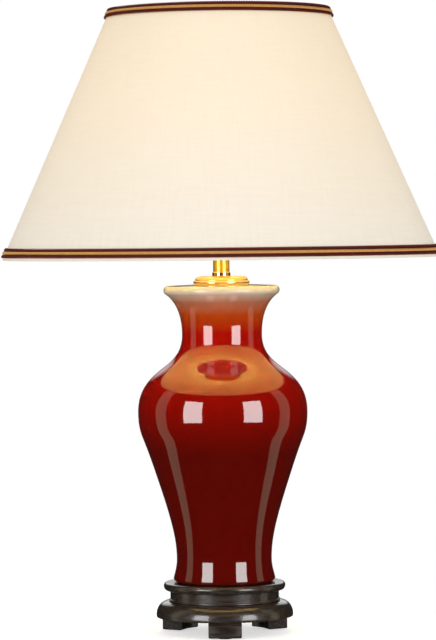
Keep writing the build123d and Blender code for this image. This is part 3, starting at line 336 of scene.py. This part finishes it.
class LAMP_OT_vase(Operator):
    """Glaze the vase"""

    bl_idname = "lamp.vase"
    bl_label = "Vase"

    def execute(self, context):
        colours = context.scene.lamp_colours
        sizes = context.scene.lamp_sizes
        # Copper-red glaze, fired on stoneware: wet gloss over a deep red that flushes brown at the
        # neck, bares a cream lip with painted shade in the grey band under it, and darkens towards the
        # foot, partly from thicker glaze and partly as painted shade
        material, tree, shader = new_finish("copper_red_glaze", Roughness=0.045, IOR=1.8)
        low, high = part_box("vase")
        place = add(tree, "ShaderNodeTexCoord")["Object"]
        drawn_down = add(
            tree, "ShaderNodeMapping", {"Vector": place}, {"Scale": (1.0, 1.0, 0.25)}
        )["Vector"]
        runs = add(
            tree, "ShaderNodeTexNoise", {"Vector": drawn_down},
            {"Scale": SPOT / (15 * MM), "Detail": 3.0},
        )["Fac"]
        shift = add(
            tree, "ShaderNodeMath", {0: runs}, {1: 2 * sizes.glaze_run, 2: -sizes.glaze_run},
            operation="MULTIPLY_ADD",
        )[0]
        height = add(tree, "ShaderNodeSeparateXYZ", {"Vector": place})["Z"]
        uneven = add(tree, "ShaderNodeMath", {0: height, 1: shift}, operation="ADD")[0]
        level = add(
            tree, "ShaderNodeMapRange", {"Value": uneven}, {"From Min": low.z, "From Max": high.z}
        )["Result"]
        # Each stop: share of the vase's height, colour
        stops = (
            (0.44, colours.glaze_foot_and_shade), (0.6, colours.glaze_belly), (0.84, colours.glaze_neck),
            (0.9, colours.glaze_flush), (0.943, colours.glaze_veil), (0.962, colours.glaze_lip_shade),
            (0.982, colours.glaze_lip),
        )
        graded = add(tree, "ShaderNodeValToRGB", {"Fac": level}, stops=stops)["Color"]
        mottle = add(
            tree, "ShaderNodeTexNoise", {"Vector": place}, {"Scale": SPOT / (4 * MM), "Detail": 5.0}
        )["Fac"]
        shade = add(
            tree, "ShaderNodeMapRange", {"Value": mottle}, {"To Min": 0.86, "To Max": 1.12}
        )["Result"]
        body = add(tree, "ShaderNodeHueSaturation", {"Color": graded, "Value": shade})["Color"]
        ripple = add(
            tree, "ShaderNodeTexNoise", {"Vector": place},
            {"Scale": SPOT / (18 * MM), "Detail": 1.0},
        )["Fac"]
        surface = add(
            tree, "ShaderNodeBump", {"Height": ripple}, {"Strength": 0.06, "Distance": 1 * MM}
        )["Normal"]
        link(tree, shader, Base_Color=body, Normal=surface)
        finish_nodes(("vase",), material)
        return {"FINISHED"}


class LAMP_OT_stand(Operator):
    """Stain the wooden stand"""

    bl_idname = "lamp.stand"
    bl_label = "Stand"

    def execute(self, context):
        colours = context.scene.lamp_colours
        sizes = context.scene.lamp_sizes
        # Beech, turned, stained black-brown and lacquered: fine straight grain under a soft gloss,
        # and brown where edges have rubbed
        material, tree, shader = new_finish(
            "stained_beech_lacquered", Roughness=0.32, Coat_Weight=1.0, Coat_Roughness=0.12
        )
        place = add(tree, "ShaderNodeTexCoord")["Object"]
        along = add(
            tree, "ShaderNodeMapping", {"Vector": place}, {"Scale": (STRETCH, 1.0, 1.0)}
        )["Vector"]
        lines = add(
            tree, "ShaderNodeTexNoise", {"Vector": along},
            {"Scale": LINE / sizes.grain, "Detail": 4.0},
        )["Fac"]
        grain = add(
            tree, "ShaderNodeValToRGB", {"Fac": lines},
            stops=((0.38, colours.wood_dark), (0.68, colours.wood_grain)),
        )["Color"]
        rounded = add(tree, "ShaderNodeBevel", inputs={"Radius": sizes.wear}, samples=4)["Normal"]
        facing = add(tree, "ShaderNodeNewGeometry")["Normal"]
        turn = add(
            tree, "ShaderNodeVectorMath", {0: rounded, 1: facing}, operation="DOT_PRODUCT"
        )["Value"]
        edge = add(
            tree, "ShaderNodeMapRange", {"Value": turn}, {"From Min": 0.995, "From Max": 0.85}
        )["Result"]
        patch = add(
            tree, "ShaderNodeTexNoise", {"Vector": place}, {"Scale": SPOT / (9 * MM), "Detail": 3.0}
        )["Fac"]
        rubbed = add(
            tree, "ShaderNodeMapRange", {"Value": patch},
            {"From Min": 0.36, "From Max": 0.58, "To Max": 0.85},
        )["Result"]
        worn = add(tree, "ShaderNodeMath", {0: edge, 1: rubbed}, operation="MULTIPLY")[0]
        body = add(
            tree, "ShaderNodeMix", {0: worn, 6: grain}, {7: colours.wood_worn}, data_type="RGBA"
        )[2]
        pores = add(
            tree, "ShaderNodeBump", {"Height": lines, "Normal": rounded},
            {"Strength": 0.12, "Distance": 0.3 * MM},
        )["Normal"]
        link(tree, shader, Base_Color=body, Normal=pores)
        finish_nodes(WOOD_NODES, material)

        # Hardboard, pressed: brown fibres with a dull face
        board = speckled(
            "pressed_hardboard", linear("5A3C26"), linear("8A6543"), 1.5, 0.2, detail=6.0,
            span=(0.3, 0.75), Roughness=0.7,
        )
        finish_nodes(("base_plate",), board)
        return {"FINISHED"}


class LAMP_OT_felts(Operator):
    """Lay the felt pads under the feet and the vase"""

    bl_idname = "lamp.felts"
    bl_label = "Felt pads"

    def execute(self, context):
        sizes = context.scene.lamp_sizes
        # Wool felt, pressed: dark, dull and furry, with no sharp edge
        felt = speckled(
            "pressed_wool_felt", linear("1C1916"), linear("3A352F"), 0.6, 0.5, detail=6.0,
            span=(0.3, 0.75), depth=0.3, Roughness=0.95, Sheen_Weight=0.4, Sheen_Roughness=0.6,
        )

        low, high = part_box("foot_pads")
        foot_circle = -low.y - sizes.pad_radius
        outline = self.round_edge(sizes.pad_radius, low.z, high.z)
        vertices, faces = [], []
        for foot in range(3):
            middle = Vector(turned(foot_circle, 0.0, radians(-90 + 120 * foot)))
            start = len(vertices)
            vertices += [middle + Vector(point) for point in self.rings(outline)]
            faces += tube_faces(len(outline), FELT_SIDES, start, closed=False)
            faces.append(tuple(range(start + FELT_SIDES - 1, start - 1, -1)))
            end = start + (len(outline) - 1) * FELT_SIDES
            faces.append(tuple(range(end, end + FELT_SIDES)))
        new_piece("foot_felts", vertices, faces, felt, "lamp_body", ["foot_pads"])

        low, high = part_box("vase_pad")
        outline = self.round_edge(high.x, low.z, high.z)
        outline += [(sizes.felt_hole, high.z), (sizes.felt_hole, low.z)]
        faces = tube_faces(len(outline), FELT_SIDES)
        new_piece(
            "vase_felt", self.rings(outline), faces, felt, "lamp_body", ["vase_pad"]
        )
        return {"FINISHED"}

    def round_edge(self, radius, bottom, top):
        """Points of a pad's edge from its underside to its top, with soft corners."""
        soft = 0.3 * (top - bottom)
        return [
            (radius - soft, bottom), (radius - 0.3 * soft, bottom + 0.3 * soft),
            (radius, bottom + soft), (radius, top - soft),
            (radius - 0.3 * soft, top - 0.3 * soft), (radius - soft, top),
        ]

    def rings(self, outline):
        """A ring of points for each radius and height of an outline."""
        return [
            turned(radius, height, 2 * pi * side / FELT_SIDES)
            for radius, height in outline for side in range(FELT_SIDES)
        ]


class LAMP_OT_brass(Operator):
    """Polish the brass of the neck and the lampholder"""

    bl_idname = "lamp.brass"
    bl_label = "Brass"

    def execute(self, context):
        colours = context.scene.lamp_colours
        # Each row: name, colour, lowest and highest roughness, nodes
        rows = (
            # Brass, spun and polished: a bright pale mirror with faint lathe lines; its paleness is
            # partly the polish and partly a painted highlight of the bulb's light
            ("spun_brass_polished", colours.brass_spun_and_highlight, 0.12, 0.2, SPUN_BRASS_NODES),
            # Brass, drawn or pressed, then lacquered: yellower, partly the lacquer and partly a
            # painted reflection of the lit shade's yellow light, with softer, broader highlights
            ("drawn_brass_lacquered", colours.brass_drawn_and_reflection, 0.26, 0.36, DRAWN_BRASS_NODES),
        )
        for name, tint, sharp, soft, nodes in rows:
            finish_nodes(nodes, self.polish(context, name, tint, sharp, soft))
        return {"FINISHED"}

    def polish(self, context, name, tint, sharp, soft):
        """A brass material with lathe lines round the lamp's axis and cloudy patches."""
        sizes = context.scene.lamp_sizes
        material, tree, shader = new_finish(name, Base_Color=tint, Metallic=1.0)
        place = add(tree, "ShaderNodeTexCoord")["Object"]
        height = add(tree, "ShaderNodeSeparateXYZ", {"Vector": place})["Z"]
        across = add(
            tree, "ShaderNodeVectorMath", {0: place}, {1: (1.0, 1.0, 0.0)}, operation="MULTIPLY"
        )[0]
        radius = add(tree, "ShaderNodeVectorMath", {0: across}, operation="LENGTH")["Value"]
        run = add(tree, "ShaderNodeMath", {0: radius, 1: height}, operation="ADD")[0]
        ring = add(
            tree, "ShaderNodeMath", {0: run}, {1: 1 / sizes.polish}, operation="MULTIPLY"
        )[0]
        lines = add(
            tree, "ShaderNodeTexNoise", {"W": ring}, {"Scale": 1.0, "Detail": 2.0},
            noise_dimensions="1D",
        )["Fac"]
        smear = add(
            tree, "ShaderNodeTexNoise", {"Vector": place}, {"Scale": SPOT / (6 * MM), "Detail": 4.0}
        )["Fac"]
        gloss = add(
            tree, "ShaderNodeMapRange", {"Value": smear},
            {"From Min": 0.3, "From Max": 0.7, "To Min": sharp, "To Max": soft},
        )["Result"]
        turning = add(
            tree, "ShaderNodeBump", {"Height": lines}, {"Strength": 0.05, "Distance": 0.1 * MM}
        )["Normal"]
        link(tree, shader, Roughness=gloss, Normal=turning)
        return material


class LAMP_OT_fittings(Operator):
    """Finish the screws, wires, plastics and ceramics"""

    bl_idname = "lamp.fittings"
    bl_label = "Fittings"

    def execute(self, context):
        # Each row: name, dark and light colour, metallic, roughness, speckle in mm, bump, nodes
        rows = (
            # Steel, zinc plated: a cool grey sheen with cloudy patches
            ("zinc_plated_steel", "8E9194", "BDC0C2", 1.0, 0.34, 2.5, 0.05, STEEL_NODES),
            # Tungsten wire, drawn: dark grey
            ("drawn_tungsten", "6A6A6C", "8A8A8C", 1.0, 0.4, 1.0, 0.05, ("bulb_filament",)),
            # Steel wire, powder coated white: a soft egg-shell face
            ("powder_coated_wire", "DCDAD4", "ECEAE5", 0.0, 0.45, 0.8, 0.12, FRAME_WIRE_NODES),
            # Nylon, moulded black: a fine spark-eroded grain
            ("moulded_black_nylon", "121212", "1E1E1E", 0.0, 0.5, 0.6, 0.15, NYLON_NODES),
            # Polyamide, moulded white: an even, slightly waxy face
            ("moulded_white_polyamide", "D8D5CB", "E6E3DA", 0.0, 0.45, 0.6, 0.1, ("terminal_block",)),
            # Rubber, moulded: dull and slightly dusty
            ("moulded_rubber", "151413", "232120", 0.0, 0.8, 0.8, 0.2, ("rod_bush",)),
            # PVC insulation, extruded: soft gloss in the three mains colours
            ("brown_pvc", "5A3420", "6E4228", 0.0, 0.4, 1.5, 0.03, ("wire_live",)),
            ("blue_pvc", "24508E", "2F62A6", 0.0, 0.4, 1.5, 0.03, ("wire_neutral",)),
            ("green_pvc", "4C8A2E", "6FA03A", 0.0, 0.4, 1.5, 0.03, ("wire_earth",)),
            # Porcelain, pressed and fired: off-white with tiny specks
            ("pressed_porcelain", "E0DBCF", "EFEBE2", 0.0, 0.3, 0.7, 0.06, ("holder_core",)),
            # Glass, fused as an insulator: glossy black
            ("fused_black_glass", "08080A", "101014", 0.0, 0.12, 1.0, 0.02, ("bulb_insulator",)),
            # Brass cap, nickel plated: a bright pale metal
            ("nickel_plated_cap", "B9B4AA", "D2CDC4", 1.0, 0.22, 2.0, 0.03, ("bulb_screw_cap",)),
            # Lead glass stem, drawn: pale and glossy
            ("drawn_stem_glass", "C8CDCB", "DDE2E0", 0.0, 0.08, 2.0, 0.01, ("bulb_stem",)),
        )
        for name, dark, light, metallic, roughness, speckle, bump, nodes in rows:
            material = speckled(
                name, linear(dark), linear(light), speckle, bump, span=(0.35, 0.7),
                Metallic=metallic, Roughness=roughness,
            )
            finish_nodes(nodes, material)
        return {"FINISHED"}


class LAMP_OT_bulb(Operator):
    """Light the bulb"""

    bl_idname = "lamp.bulb"
    bl_label = "Bulb"

    def execute(self, context):
        # Soda-lime glass, blown and frosted inside: a smooth outside over an even warm glow that is
        # weaker at the neck
        material, tree, shader = new_finish(
            "frosted_soda_lime_glass", Base_Color=linear("F4EEE4"), Roughness=0.15, IOR=1.5,
            Emission_Color=context.scene.lamp_colours.bulb,
        )
        strength = context.scene.lamp_studio.bulb_strength
        low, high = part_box("bulb_glass")
        neck_end = low.z + 0.4 * (high.z - low.z)
        place = add(tree, "ShaderNodeTexCoord")["Object"]
        height = add(tree, "ShaderNodeSeparateXYZ", {"Vector": place})["Z"]
        glow = add(
            tree, "ShaderNodeMapRange", {"Value": height},
            {"From Min": low.z, "From Max": neck_end, "To Min": 0.1 * strength, "To Max": strength},
        )["Result"]
        link(tree, shader, Emission_Strength=glow)
        finish_nodes(("bulb_glass",), material)
        return {"FINISHED"}


class LAMP_OT_shade(Operator):
    """Stretch the cloth over the shade and finish its lining"""

    bl_idname = "lamp.shade"
    bl_label = "Shade cloth"

    def execute(self, context):
        colours = context.scene.lamp_colours
        sizes = context.scene.lamp_sizes
        low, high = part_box("shade_cover")
        top_radius = rim_radius("shade_cover", high.z)
        slant = hypot(high.x - top_radius, high.z - low.z)
        mean_radius = (top_radius + high.x) / 2
        seam_turn = sizes.seam / mean_radius
        cloth_turn = 2 * pi + seam_turn

        # The overlap rises by a little more than the cloth's thickness, to lie on the other end
        lift = 1.15 * sizes.cloth
        vertices, faces, spots = [], [], []
        for column in range(CLOTH_COLUMNS + 1):
            turn = cloth_turn * column / CLOTH_COLUMNS
            over = min(1.0, max(0.0, (turn - 2 * pi + seam_turn) / seam_turn))
            raised = lift * over * over * (3 - 2 * over)
            for row in range(CLOTH_ROWS + 1):
                down = row / CLOTH_ROWS
                radius = top_radius + (high.x - top_radius) * down - lift + raised
                vertices.append(turned(radius, high.z + (low.z - high.z) * down, pi / 2 + turn))
                spots.append((turn * mean_radius, down * slant))
        for column in range(CLOTH_COLUMNS):
            for row in range(CLOTH_ROWS):
                here = column * (CLOTH_ROWS + 1) + row
                there = here + CLOTH_ROWS + 1
                faces.append((here, here + 1, there + 1, there))

        material = self.cloth(context, low, high)
        piece = new_piece(
            "shade_cloth", vertices, faces, material, "shade", ["shade_cover"]
        )
        layer = piece.data.uv_layers.new(name="thread_run")
        for loop in piece.data.loops:
            layer.data[loop.index].uv = spots[loop.vertex_index]
        body = piece.modifiers.new("cloth_thickness", "SOLIDIFY")
        body.thickness = sizes.cloth
        body.offset = -1.0

        # Film, calendered matt white: an even pale face that the bulb lights
        film = speckled(
            "calendered_matt_film", dimmed(colours.lining, 0.94), colours.lining, 1.2, 0.08,
            detail=3.0, depth=0.1, Roughness=0.55,
        )
        finish_nodes(("shade_lining",), film)
        return {"FINISHED"}

    def cloth(self, context, low, high):
        """The cloth's material."""
        colours = context.scene.lamp_colours
        sizes = context.scene.lamp_sizes
        # Cotton blend, plain woven and glued to film: dull cream with slubs, with a painted glow where
        # the bulb is near and a painted warmer tint towards it; the threads are drawn at about four
        # times their real spacing, to show at all
        material, tree, shader = new_finish(
            "plain_woven_cotton", Roughness=0.9, Sheen_Weight=0.15, Sheen_Roughness=0.5,
            Emission_Color=colours.glow,
        )
        place = add(tree, "ShaderNodeTexCoord")
        thread = add(tree, "ShaderNodeSeparateXYZ", {"Vector": place["UV"]})
        waves = []
        for axis in ("X", "Y"):
            phase = add(
                tree, "ShaderNodeMath", {0: thread[axis]}, {1: 2 * pi / sizes.thread},
                operation="MULTIPLY",
            )[0]
            waves.append(add(tree, "ShaderNodeMath", {0: phase}, operation="SINE")[0])
        weave = add(tree, "ShaderNodeMath", {0: waves[0], 1: waves[1]}, operation="MULTIPLY")[0]
        slubs = []
        for scale in ((STRETCH, 1.0, 1.0), (1.0, STRETCH, 1.0)):
            run = add(
                tree, "ShaderNodeMapping", {"Vector": place["UV"]}, {"Scale": scale}
            )["Vector"]
            slubs.append(add(
                tree, "ShaderNodeTexNoise", {"Vector": run},
                {"Scale": LINE / sizes.thread, "Detail": 3.0},
            )["Fac"])
        slub = add(tree, "ShaderNodeMath", {0: slubs[0], 1: slubs[1]}, operation="ADD")[0]
        height = add(tree, "ShaderNodeSeparateXYZ", {"Vector": place["Object"]})["Z"]
        level = add(
            tree, "ShaderNodeMapRange", {"Value": height}, {"From Min": low.z, "From Max": high.z}
        )["Result"]
        graded = add(
            tree, "ShaderNodeValToRGB", {"Fac": level},
            stops=((0.1, colours.cloth_low), (0.75, colours.cloth_painted_warm)),
        )["Color"]
        tone = add(
            tree, "ShaderNodeMapRange", {"Value": slub},
            {"From Min": 0.7, "From Max": 1.3, "To Min": 0.97, "To Max": 1.02},
        )["Result"]
        body = add(tree, "ShaderNodeHueSaturation", {"Color": graded, "Value": tone})["Color"]
        threads = add(tree, "ShaderNodeMath", {0: weave, 1: slub}, operation="ADD")[0]
        surface = add(
            tree, "ShaderNodeBump", {"Height": threads}, {"Strength": 0.12, "Distance": 0.25 * MM}
        )["Normal"]
        stops = [(rise, (share, share, share, 1.0)) for rise, share in GLOW_STOPS]
        glow = add(tree, "ShaderNodeValToRGB", {"Fac": level}, stops=stops)["Color"]
        strength = context.scene.lamp_studio.glow_strength
        lit = add(tree, "ShaderNodeMath", {0: glow}, {1: strength}, operation="MULTIPLY")[0]
        link(tree, shader, Base_Color=body, Normal=surface, Emission_Strength=lit)
        return material


class LAMP_OT_trims(Operator):
    """Braid the trims round the shade's rims"""

    bl_idname = "lamp.trims"
    bl_label = "Trims"

    def execute(self, context):
        colours = context.scene.lamp_colours
        sizes = context.scene.lamp_sizes
        # Rayon braid, woven and rolled: maroon with a dull silk sheen and fine ribs
        maroon = self.yarn("woven_rayon_braid", colours.braid, 0.6, 0.08)
        # Rayon cord, twisted: old gold, silkier than the braid
        gold = self.yarn("twisted_rayon_cord", colours.cord, 0.45, 0.1)

        low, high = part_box("shade_cover")
        top_radius = rim_radius("shade_cover", high.z)
        slope = atan2(high.x - top_radius, high.z - low.z)
        half = sizes.trim_width / 2 * cos(slope)
        # Each rim: radius and height of the trim's middle line, slope of the cloth
        rims = {
            "top": (top_radius + half * tan(slope), high.z - half, slope),
            "bottom": (high.x - (sizes.hem + half) * tan(slope), low.z + sizes.hem + half, slope),
        }
        edge_width = sizes.trim_width / 3
        edge_half = (edge_width / 2, sizes.edge_height / 2)
        edge_off = (sizes.ribbon + sizes.edge_height) / 2
        cord_half = (sizes.cord_width / 2, sizes.cord_height / 2)
        cord_off = 1.2 * sizes.ribbon + sizes.cord_height / 2
        for place, rim in rims.items():
            vertices, faces = self.ribbon(rim, sizes.trim_width - edge_width, sizes.ribbon)
            for side in (-1, 1):
                middle = (side * edge_width, edge_off)
                self.twist(vertices, faces, rim, middle, edge_half, 2, side * sizes.braid_lay)
            new_piece(
                f"{place}_braid", vertices, faces, maroon, "shade",
                [f"trim_{place}_ribbon"],
            )
            vertices, faces = [], []
            self.twist(vertices, faces, rim, (0.0, cord_off), cord_half, 3, sizes.cord_lay)
            new_piece(
                f"{place}_gold_cord", vertices, faces, gold, "shade",
                [f"trim_{place}_cord"],
            )
        return {"FINISHED"}

    def spot(self, rim, angle, along, off):
        """A point of a rim's trim, along the cloth's slope and off its face."""
        radius, height, slope = rim
        return turned(
            radius + along * sin(slope) + off * cos(slope),
            height - along * cos(slope) + off * sin(slope),
            angle,
        )

    def ribbon(self, rim, width, thickness):
        """Vertices and faces of the flat ribbon under the cords, just clear of the cloth."""
        side, clear = width / 2, 0.02 * MM
        section = ((-side, clear), (-side, thickness), (side, thickness), (side, clear))
        vertices = [
            self.spot(rim, 2 * pi * step / RIBBON_STEPS, along, off)
            for step in range(RIBBON_STEPS) for along, off in section
        ]
        return vertices, tube_faces(RIBBON_STEPS, len(section))

    def twist(self, vertices, faces, rim, middle, half, plies, lay):
        """Add the plies of a twisted cord round the rim, as wide and as high as twice half."""
        turns = round(2 * pi * rim[0] / abs(lay))
        steps = PLY_STEPS * turns
        hand = 1 if lay > 0 else -1
        ply = PLY_SHARE[plies]
        for strand in range(plies):
            start = len(vertices)
            for step in range(steps):
                angle = 2 * pi * step / steps
                wind = 2 * pi * (turns * step / steps + strand / plies) * hand
                along = middle[0] + half[0] * (1 - ply) * cos(wind)
                off = middle[1] + half[1] * (1 - ply) * sin(wind)
                for side in range(PLY_SIDES):
                    round_ply = 2 * pi * side / PLY_SIDES
                    vertices.append(self.spot(
                        rim, angle, along + half[0] * ply * cos(round_ply),
                        off + half[1] * ply * sin(round_ply),
                    ))
            faces += tube_faces(steps, PLY_SIDES, start)

    def yarn(self, name, tint, roughness, sheen):
        """A yarn material with fibres along its plies."""
        return speckled(
            name, dimmed(tint, 0.72), tint, 0.8, 0.25, Roughness=roughness, Sheen_Weight=sheen,
            Sheen_Roughness=0.4, Specular_IOR_Level=0.15,
        )


class LAMP_OT_studio(Operator):
    """Set up the floor, the lights and the camera"""

    bl_idname = "lamp.studio"
    bl_label = "Studio"

    def execute(self, context):
        studio = context.scene.lamp_studio
        context.scene.view_settings.view_transform = "Standard"
        self.surround(context, studio)
        self.floor(context)
        for side, name in ((-1, "left"), (1, "right")):
            mirror = Vector((side, 1.0, 1.0))
            softbox = Vector(SOFTBOX_SPOT) * mirror
            glint = GLINT_SHARE * softbox
            card = Vector(CARD_SPOT) * mirror
            self.panel(
                context, f"softbox_{name}", softbox, SOFTBOX_SIZE, studio.softbox_power, glossy=False
            )
            self.panel(
                context, f"glint_{name}", glint, SOFTBOX_SIZE, studio.glint_power, diffuse=False
            )
            self.panel(
                context, f"card_{name}", card, CARD_SIZE, studio.card_power, tint=CARD_TINT
            )
        self.panel(
            context, "softbox_back", Vector(BACK_SPOT), BACK_SIZE, studio.back_power, glossy=False
        )
        self.mouth(context, studio)
        self.camera(context, studio)
        return {"FINISHED"}

    def new_light(self, context, name, shape, spot, size, power, tint):
        """A flat light that the camera doesn't see, facing down."""
        light = bpy.data.lights.new(name, "AREA")
        light.shape = shape
        light.size, light.size_y = size
        light.energy = power
        light.color = linear(tint)[:3]
        lamp = bpy.data.objects.new(name, light)
        lamp.location = spot
        lamp.visible_camera = False
        context.scene.collection.objects.link(lamp)
        return lamp

    def panel(self, context, name, spot, size, power, diffuse=True, glossy=True, tint="FFFFFF"):
        """A flat soft light that faces the lamp's axis."""
        lamp = self.new_light(context, name, "RECTANGLE", spot, size, power, tint)
        facing = Vector((0.0, 0.0, spot.z)) - spot
        lamp.rotation_euler = facing.to_track_quat("-Z", "Y").to_euler()
        lamp.visible_diffuse = diffuse
        lamp.visible_glossy = glossy

    def mouth(self, context, studio):
        """A warm disc in the shade's lower opening that shows in mirrors only, as an even lining."""
        low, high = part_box("shade_lining")
        spot = Vector((0.0, 0.0, low.z + MM))
        size = (2 * high.x, 2 * high.x)
        lamp = self.new_light(
            context, "shade_mouth", "DISK", spot, size, studio.mouth_power, MOUTH_TINT
        )
        lamp.visible_diffuse = False

    def camera(self, context, studio):
        """The camera in front of the lamp."""
        camera = bpy.data.objects.new("camera", bpy.data.cameras.new("camera"))
        context.scene.collection.objects.link(camera)
        camera.data.lens = studio.camera_lens
        camera.location = (-studio.aim_side, -studio.camera_distance, studio.camera_height)
        aim = Vector((-studio.aim_side, 0.0, studio.aim_height))
        facing = (aim - camera.location).to_track_quat("-Z", "Y").to_matrix()
        camera.rotation_euler = (facing @ Matrix.Rotation(-studio.camera_roll, 3, "Z")).to_euler()
        context.scene.camera = camera

    def surround(self, context, studio):
        """A white surround for the camera, white paper behind the lamp in mirrors, an even fill."""
        world = bpy.data.worlds.new("studio")
        world.use_nodes = True
        context.scene.world = world
        tree = world.node_tree
        way = add(tree, "ShaderNodeTexCoord")["Generated"]
        back = add(
            tree, "ShaderNodeVectorMath", {0: way}, {1: PAPER_WAY}, operation="DOT_PRODUCT"
        )["Value"]
        paper = add(
            tree, "ShaderNodeMapRange", {"Value": back},
            {"From Min": PAPER_FADE[0], "From Max": PAPER_FADE[1], "To Min": ROOM_LEVEL},
        )["Result"]
        path = add(tree, "ShaderNodeLightPath")
        mirrored = add(
            tree, "ShaderNodeMath", {0: path["Is Glossy Ray"], 1: path["Is Transmission Ray"]},
            operation="MAXIMUM",
        )[0]
        dim = add(tree, "ShaderNodeMix", {0: mirrored, 3: paper}, {2: studio.fill})[0]
        seen = add(tree, "ShaderNodeMix", {0: path["Is Camera Ray"], 2: dim}, {3: 1.0})[0]
        background = tree.nodes["Background"]
        background.inputs["Color"].default_value = linear("FFFFFF")
        tree.links.new(seen, background.inputs["Strength"])

    def floor(self, context):
        """A pale round table top."""
        rim = [turned(FLOOR_RADIUS, 0.0, 2 * pi * side / FLOOR_SIDES) for side in range(FLOOR_SIDES)]
        mesh = bpy.data.meshes.new("floor")
        mesh.from_pydata(rim, [], [tuple(range(FLOOR_SIDES))])
        floor = bpy.data.objects.new("floor", mesh)
        context.scene.collection.objects.link(floor)
        # The glaze mirrors the dark room in front of the table, not the table
        floor.visible_glossy = False
        # Laminate, pressed matt white: shows as plain white, and still takes the lamp's shadow
        material, tree, shader = new_finish(
            "matt_white_laminate", Base_Color=linear("E8E6E2"), Roughness=0.8,
            Emission_Color=linear("FFFFFF"),
        )
        path = add(tree, "ShaderNodeLightPath")
        seen = add(
            tree, "ShaderNodeMath", {0: path["Is Camera Ray"], 1: path["Is Transmission Ray"]},
            operation="MAXIMUM",
        )[0]
        white = add(tree, "ShaderNodeMath", {0: seen}, {1: FLOOR_GLOW}, operation="MULTIPLY")[0]
        link(tree, shader, Emission_Strength=white)
        mesh.materials.append(material)


class LAMP_PT_panel(Panel):
    """Lists the lamp's steps and settings"""

    bl_idname = "LAMP_PT_panel"
    bl_label = "Table lamp"
    bl_space_type = "VIEW_3D"
    bl_region_type = "UI"
    bl_category = "Table lamp"

    def draw(self, context):
        for operator in OPERATORS:
            self.layout.operator(operator.bl_idname)
        for group in GROUPS:
            settings = getattr(context.scene, GROUPS[group])
            for name in group.__annotations__:
                self.layout.prop(settings, name)


GROUPS = {LampColours: "lamp_colours", LampSizes: "lamp_sizes", LampStudio: "lamp_studio"}
OPERATORS = (
    LAMP_OT_stand, LAMP_OT_felts, LAMP_OT_vase, LAMP_OT_brass, LAMP_OT_fittings, LAMP_OT_bulb,
    LAMP_OT_shade, LAMP_OT_trims, LAMP_OT_studio,
)


def register():
    """Register the settings, the steps and the panel."""
    for group, name in GROUPS.items():
        bpy.utils.register_class(group)
        setattr(bpy.types.Scene, name, PointerProperty(type=group))
    for item in (*OPERATORS, LAMP_PT_panel):
        bpy.utils.register_class(item)


def unregister():
    """Take the panel, the steps and the settings away again."""
    for item in (LAMP_PT_panel, *reversed(OPERATORS)):
        bpy.utils.unregister_class(item)
    for group, name in GROUPS.items():
        delattr(bpy.types.Scene, name)
        bpy.utils.unregister_class(group)


def main():
    """Make every piece in turn."""
    register()
    bpy.ops.lamp.stand()
    bpy.ops.lamp.felts()
    bpy.ops.lamp.vase()
    bpy.ops.lamp.brass()
    bpy.ops.lamp.fittings()
    bpy.ops.lamp.bulb()
    bpy.ops.lamp.shade()
    bpy.ops.lamp.trims()
    bpy.ops.lamp.studio()


if __name__ == "__main__":
    main()
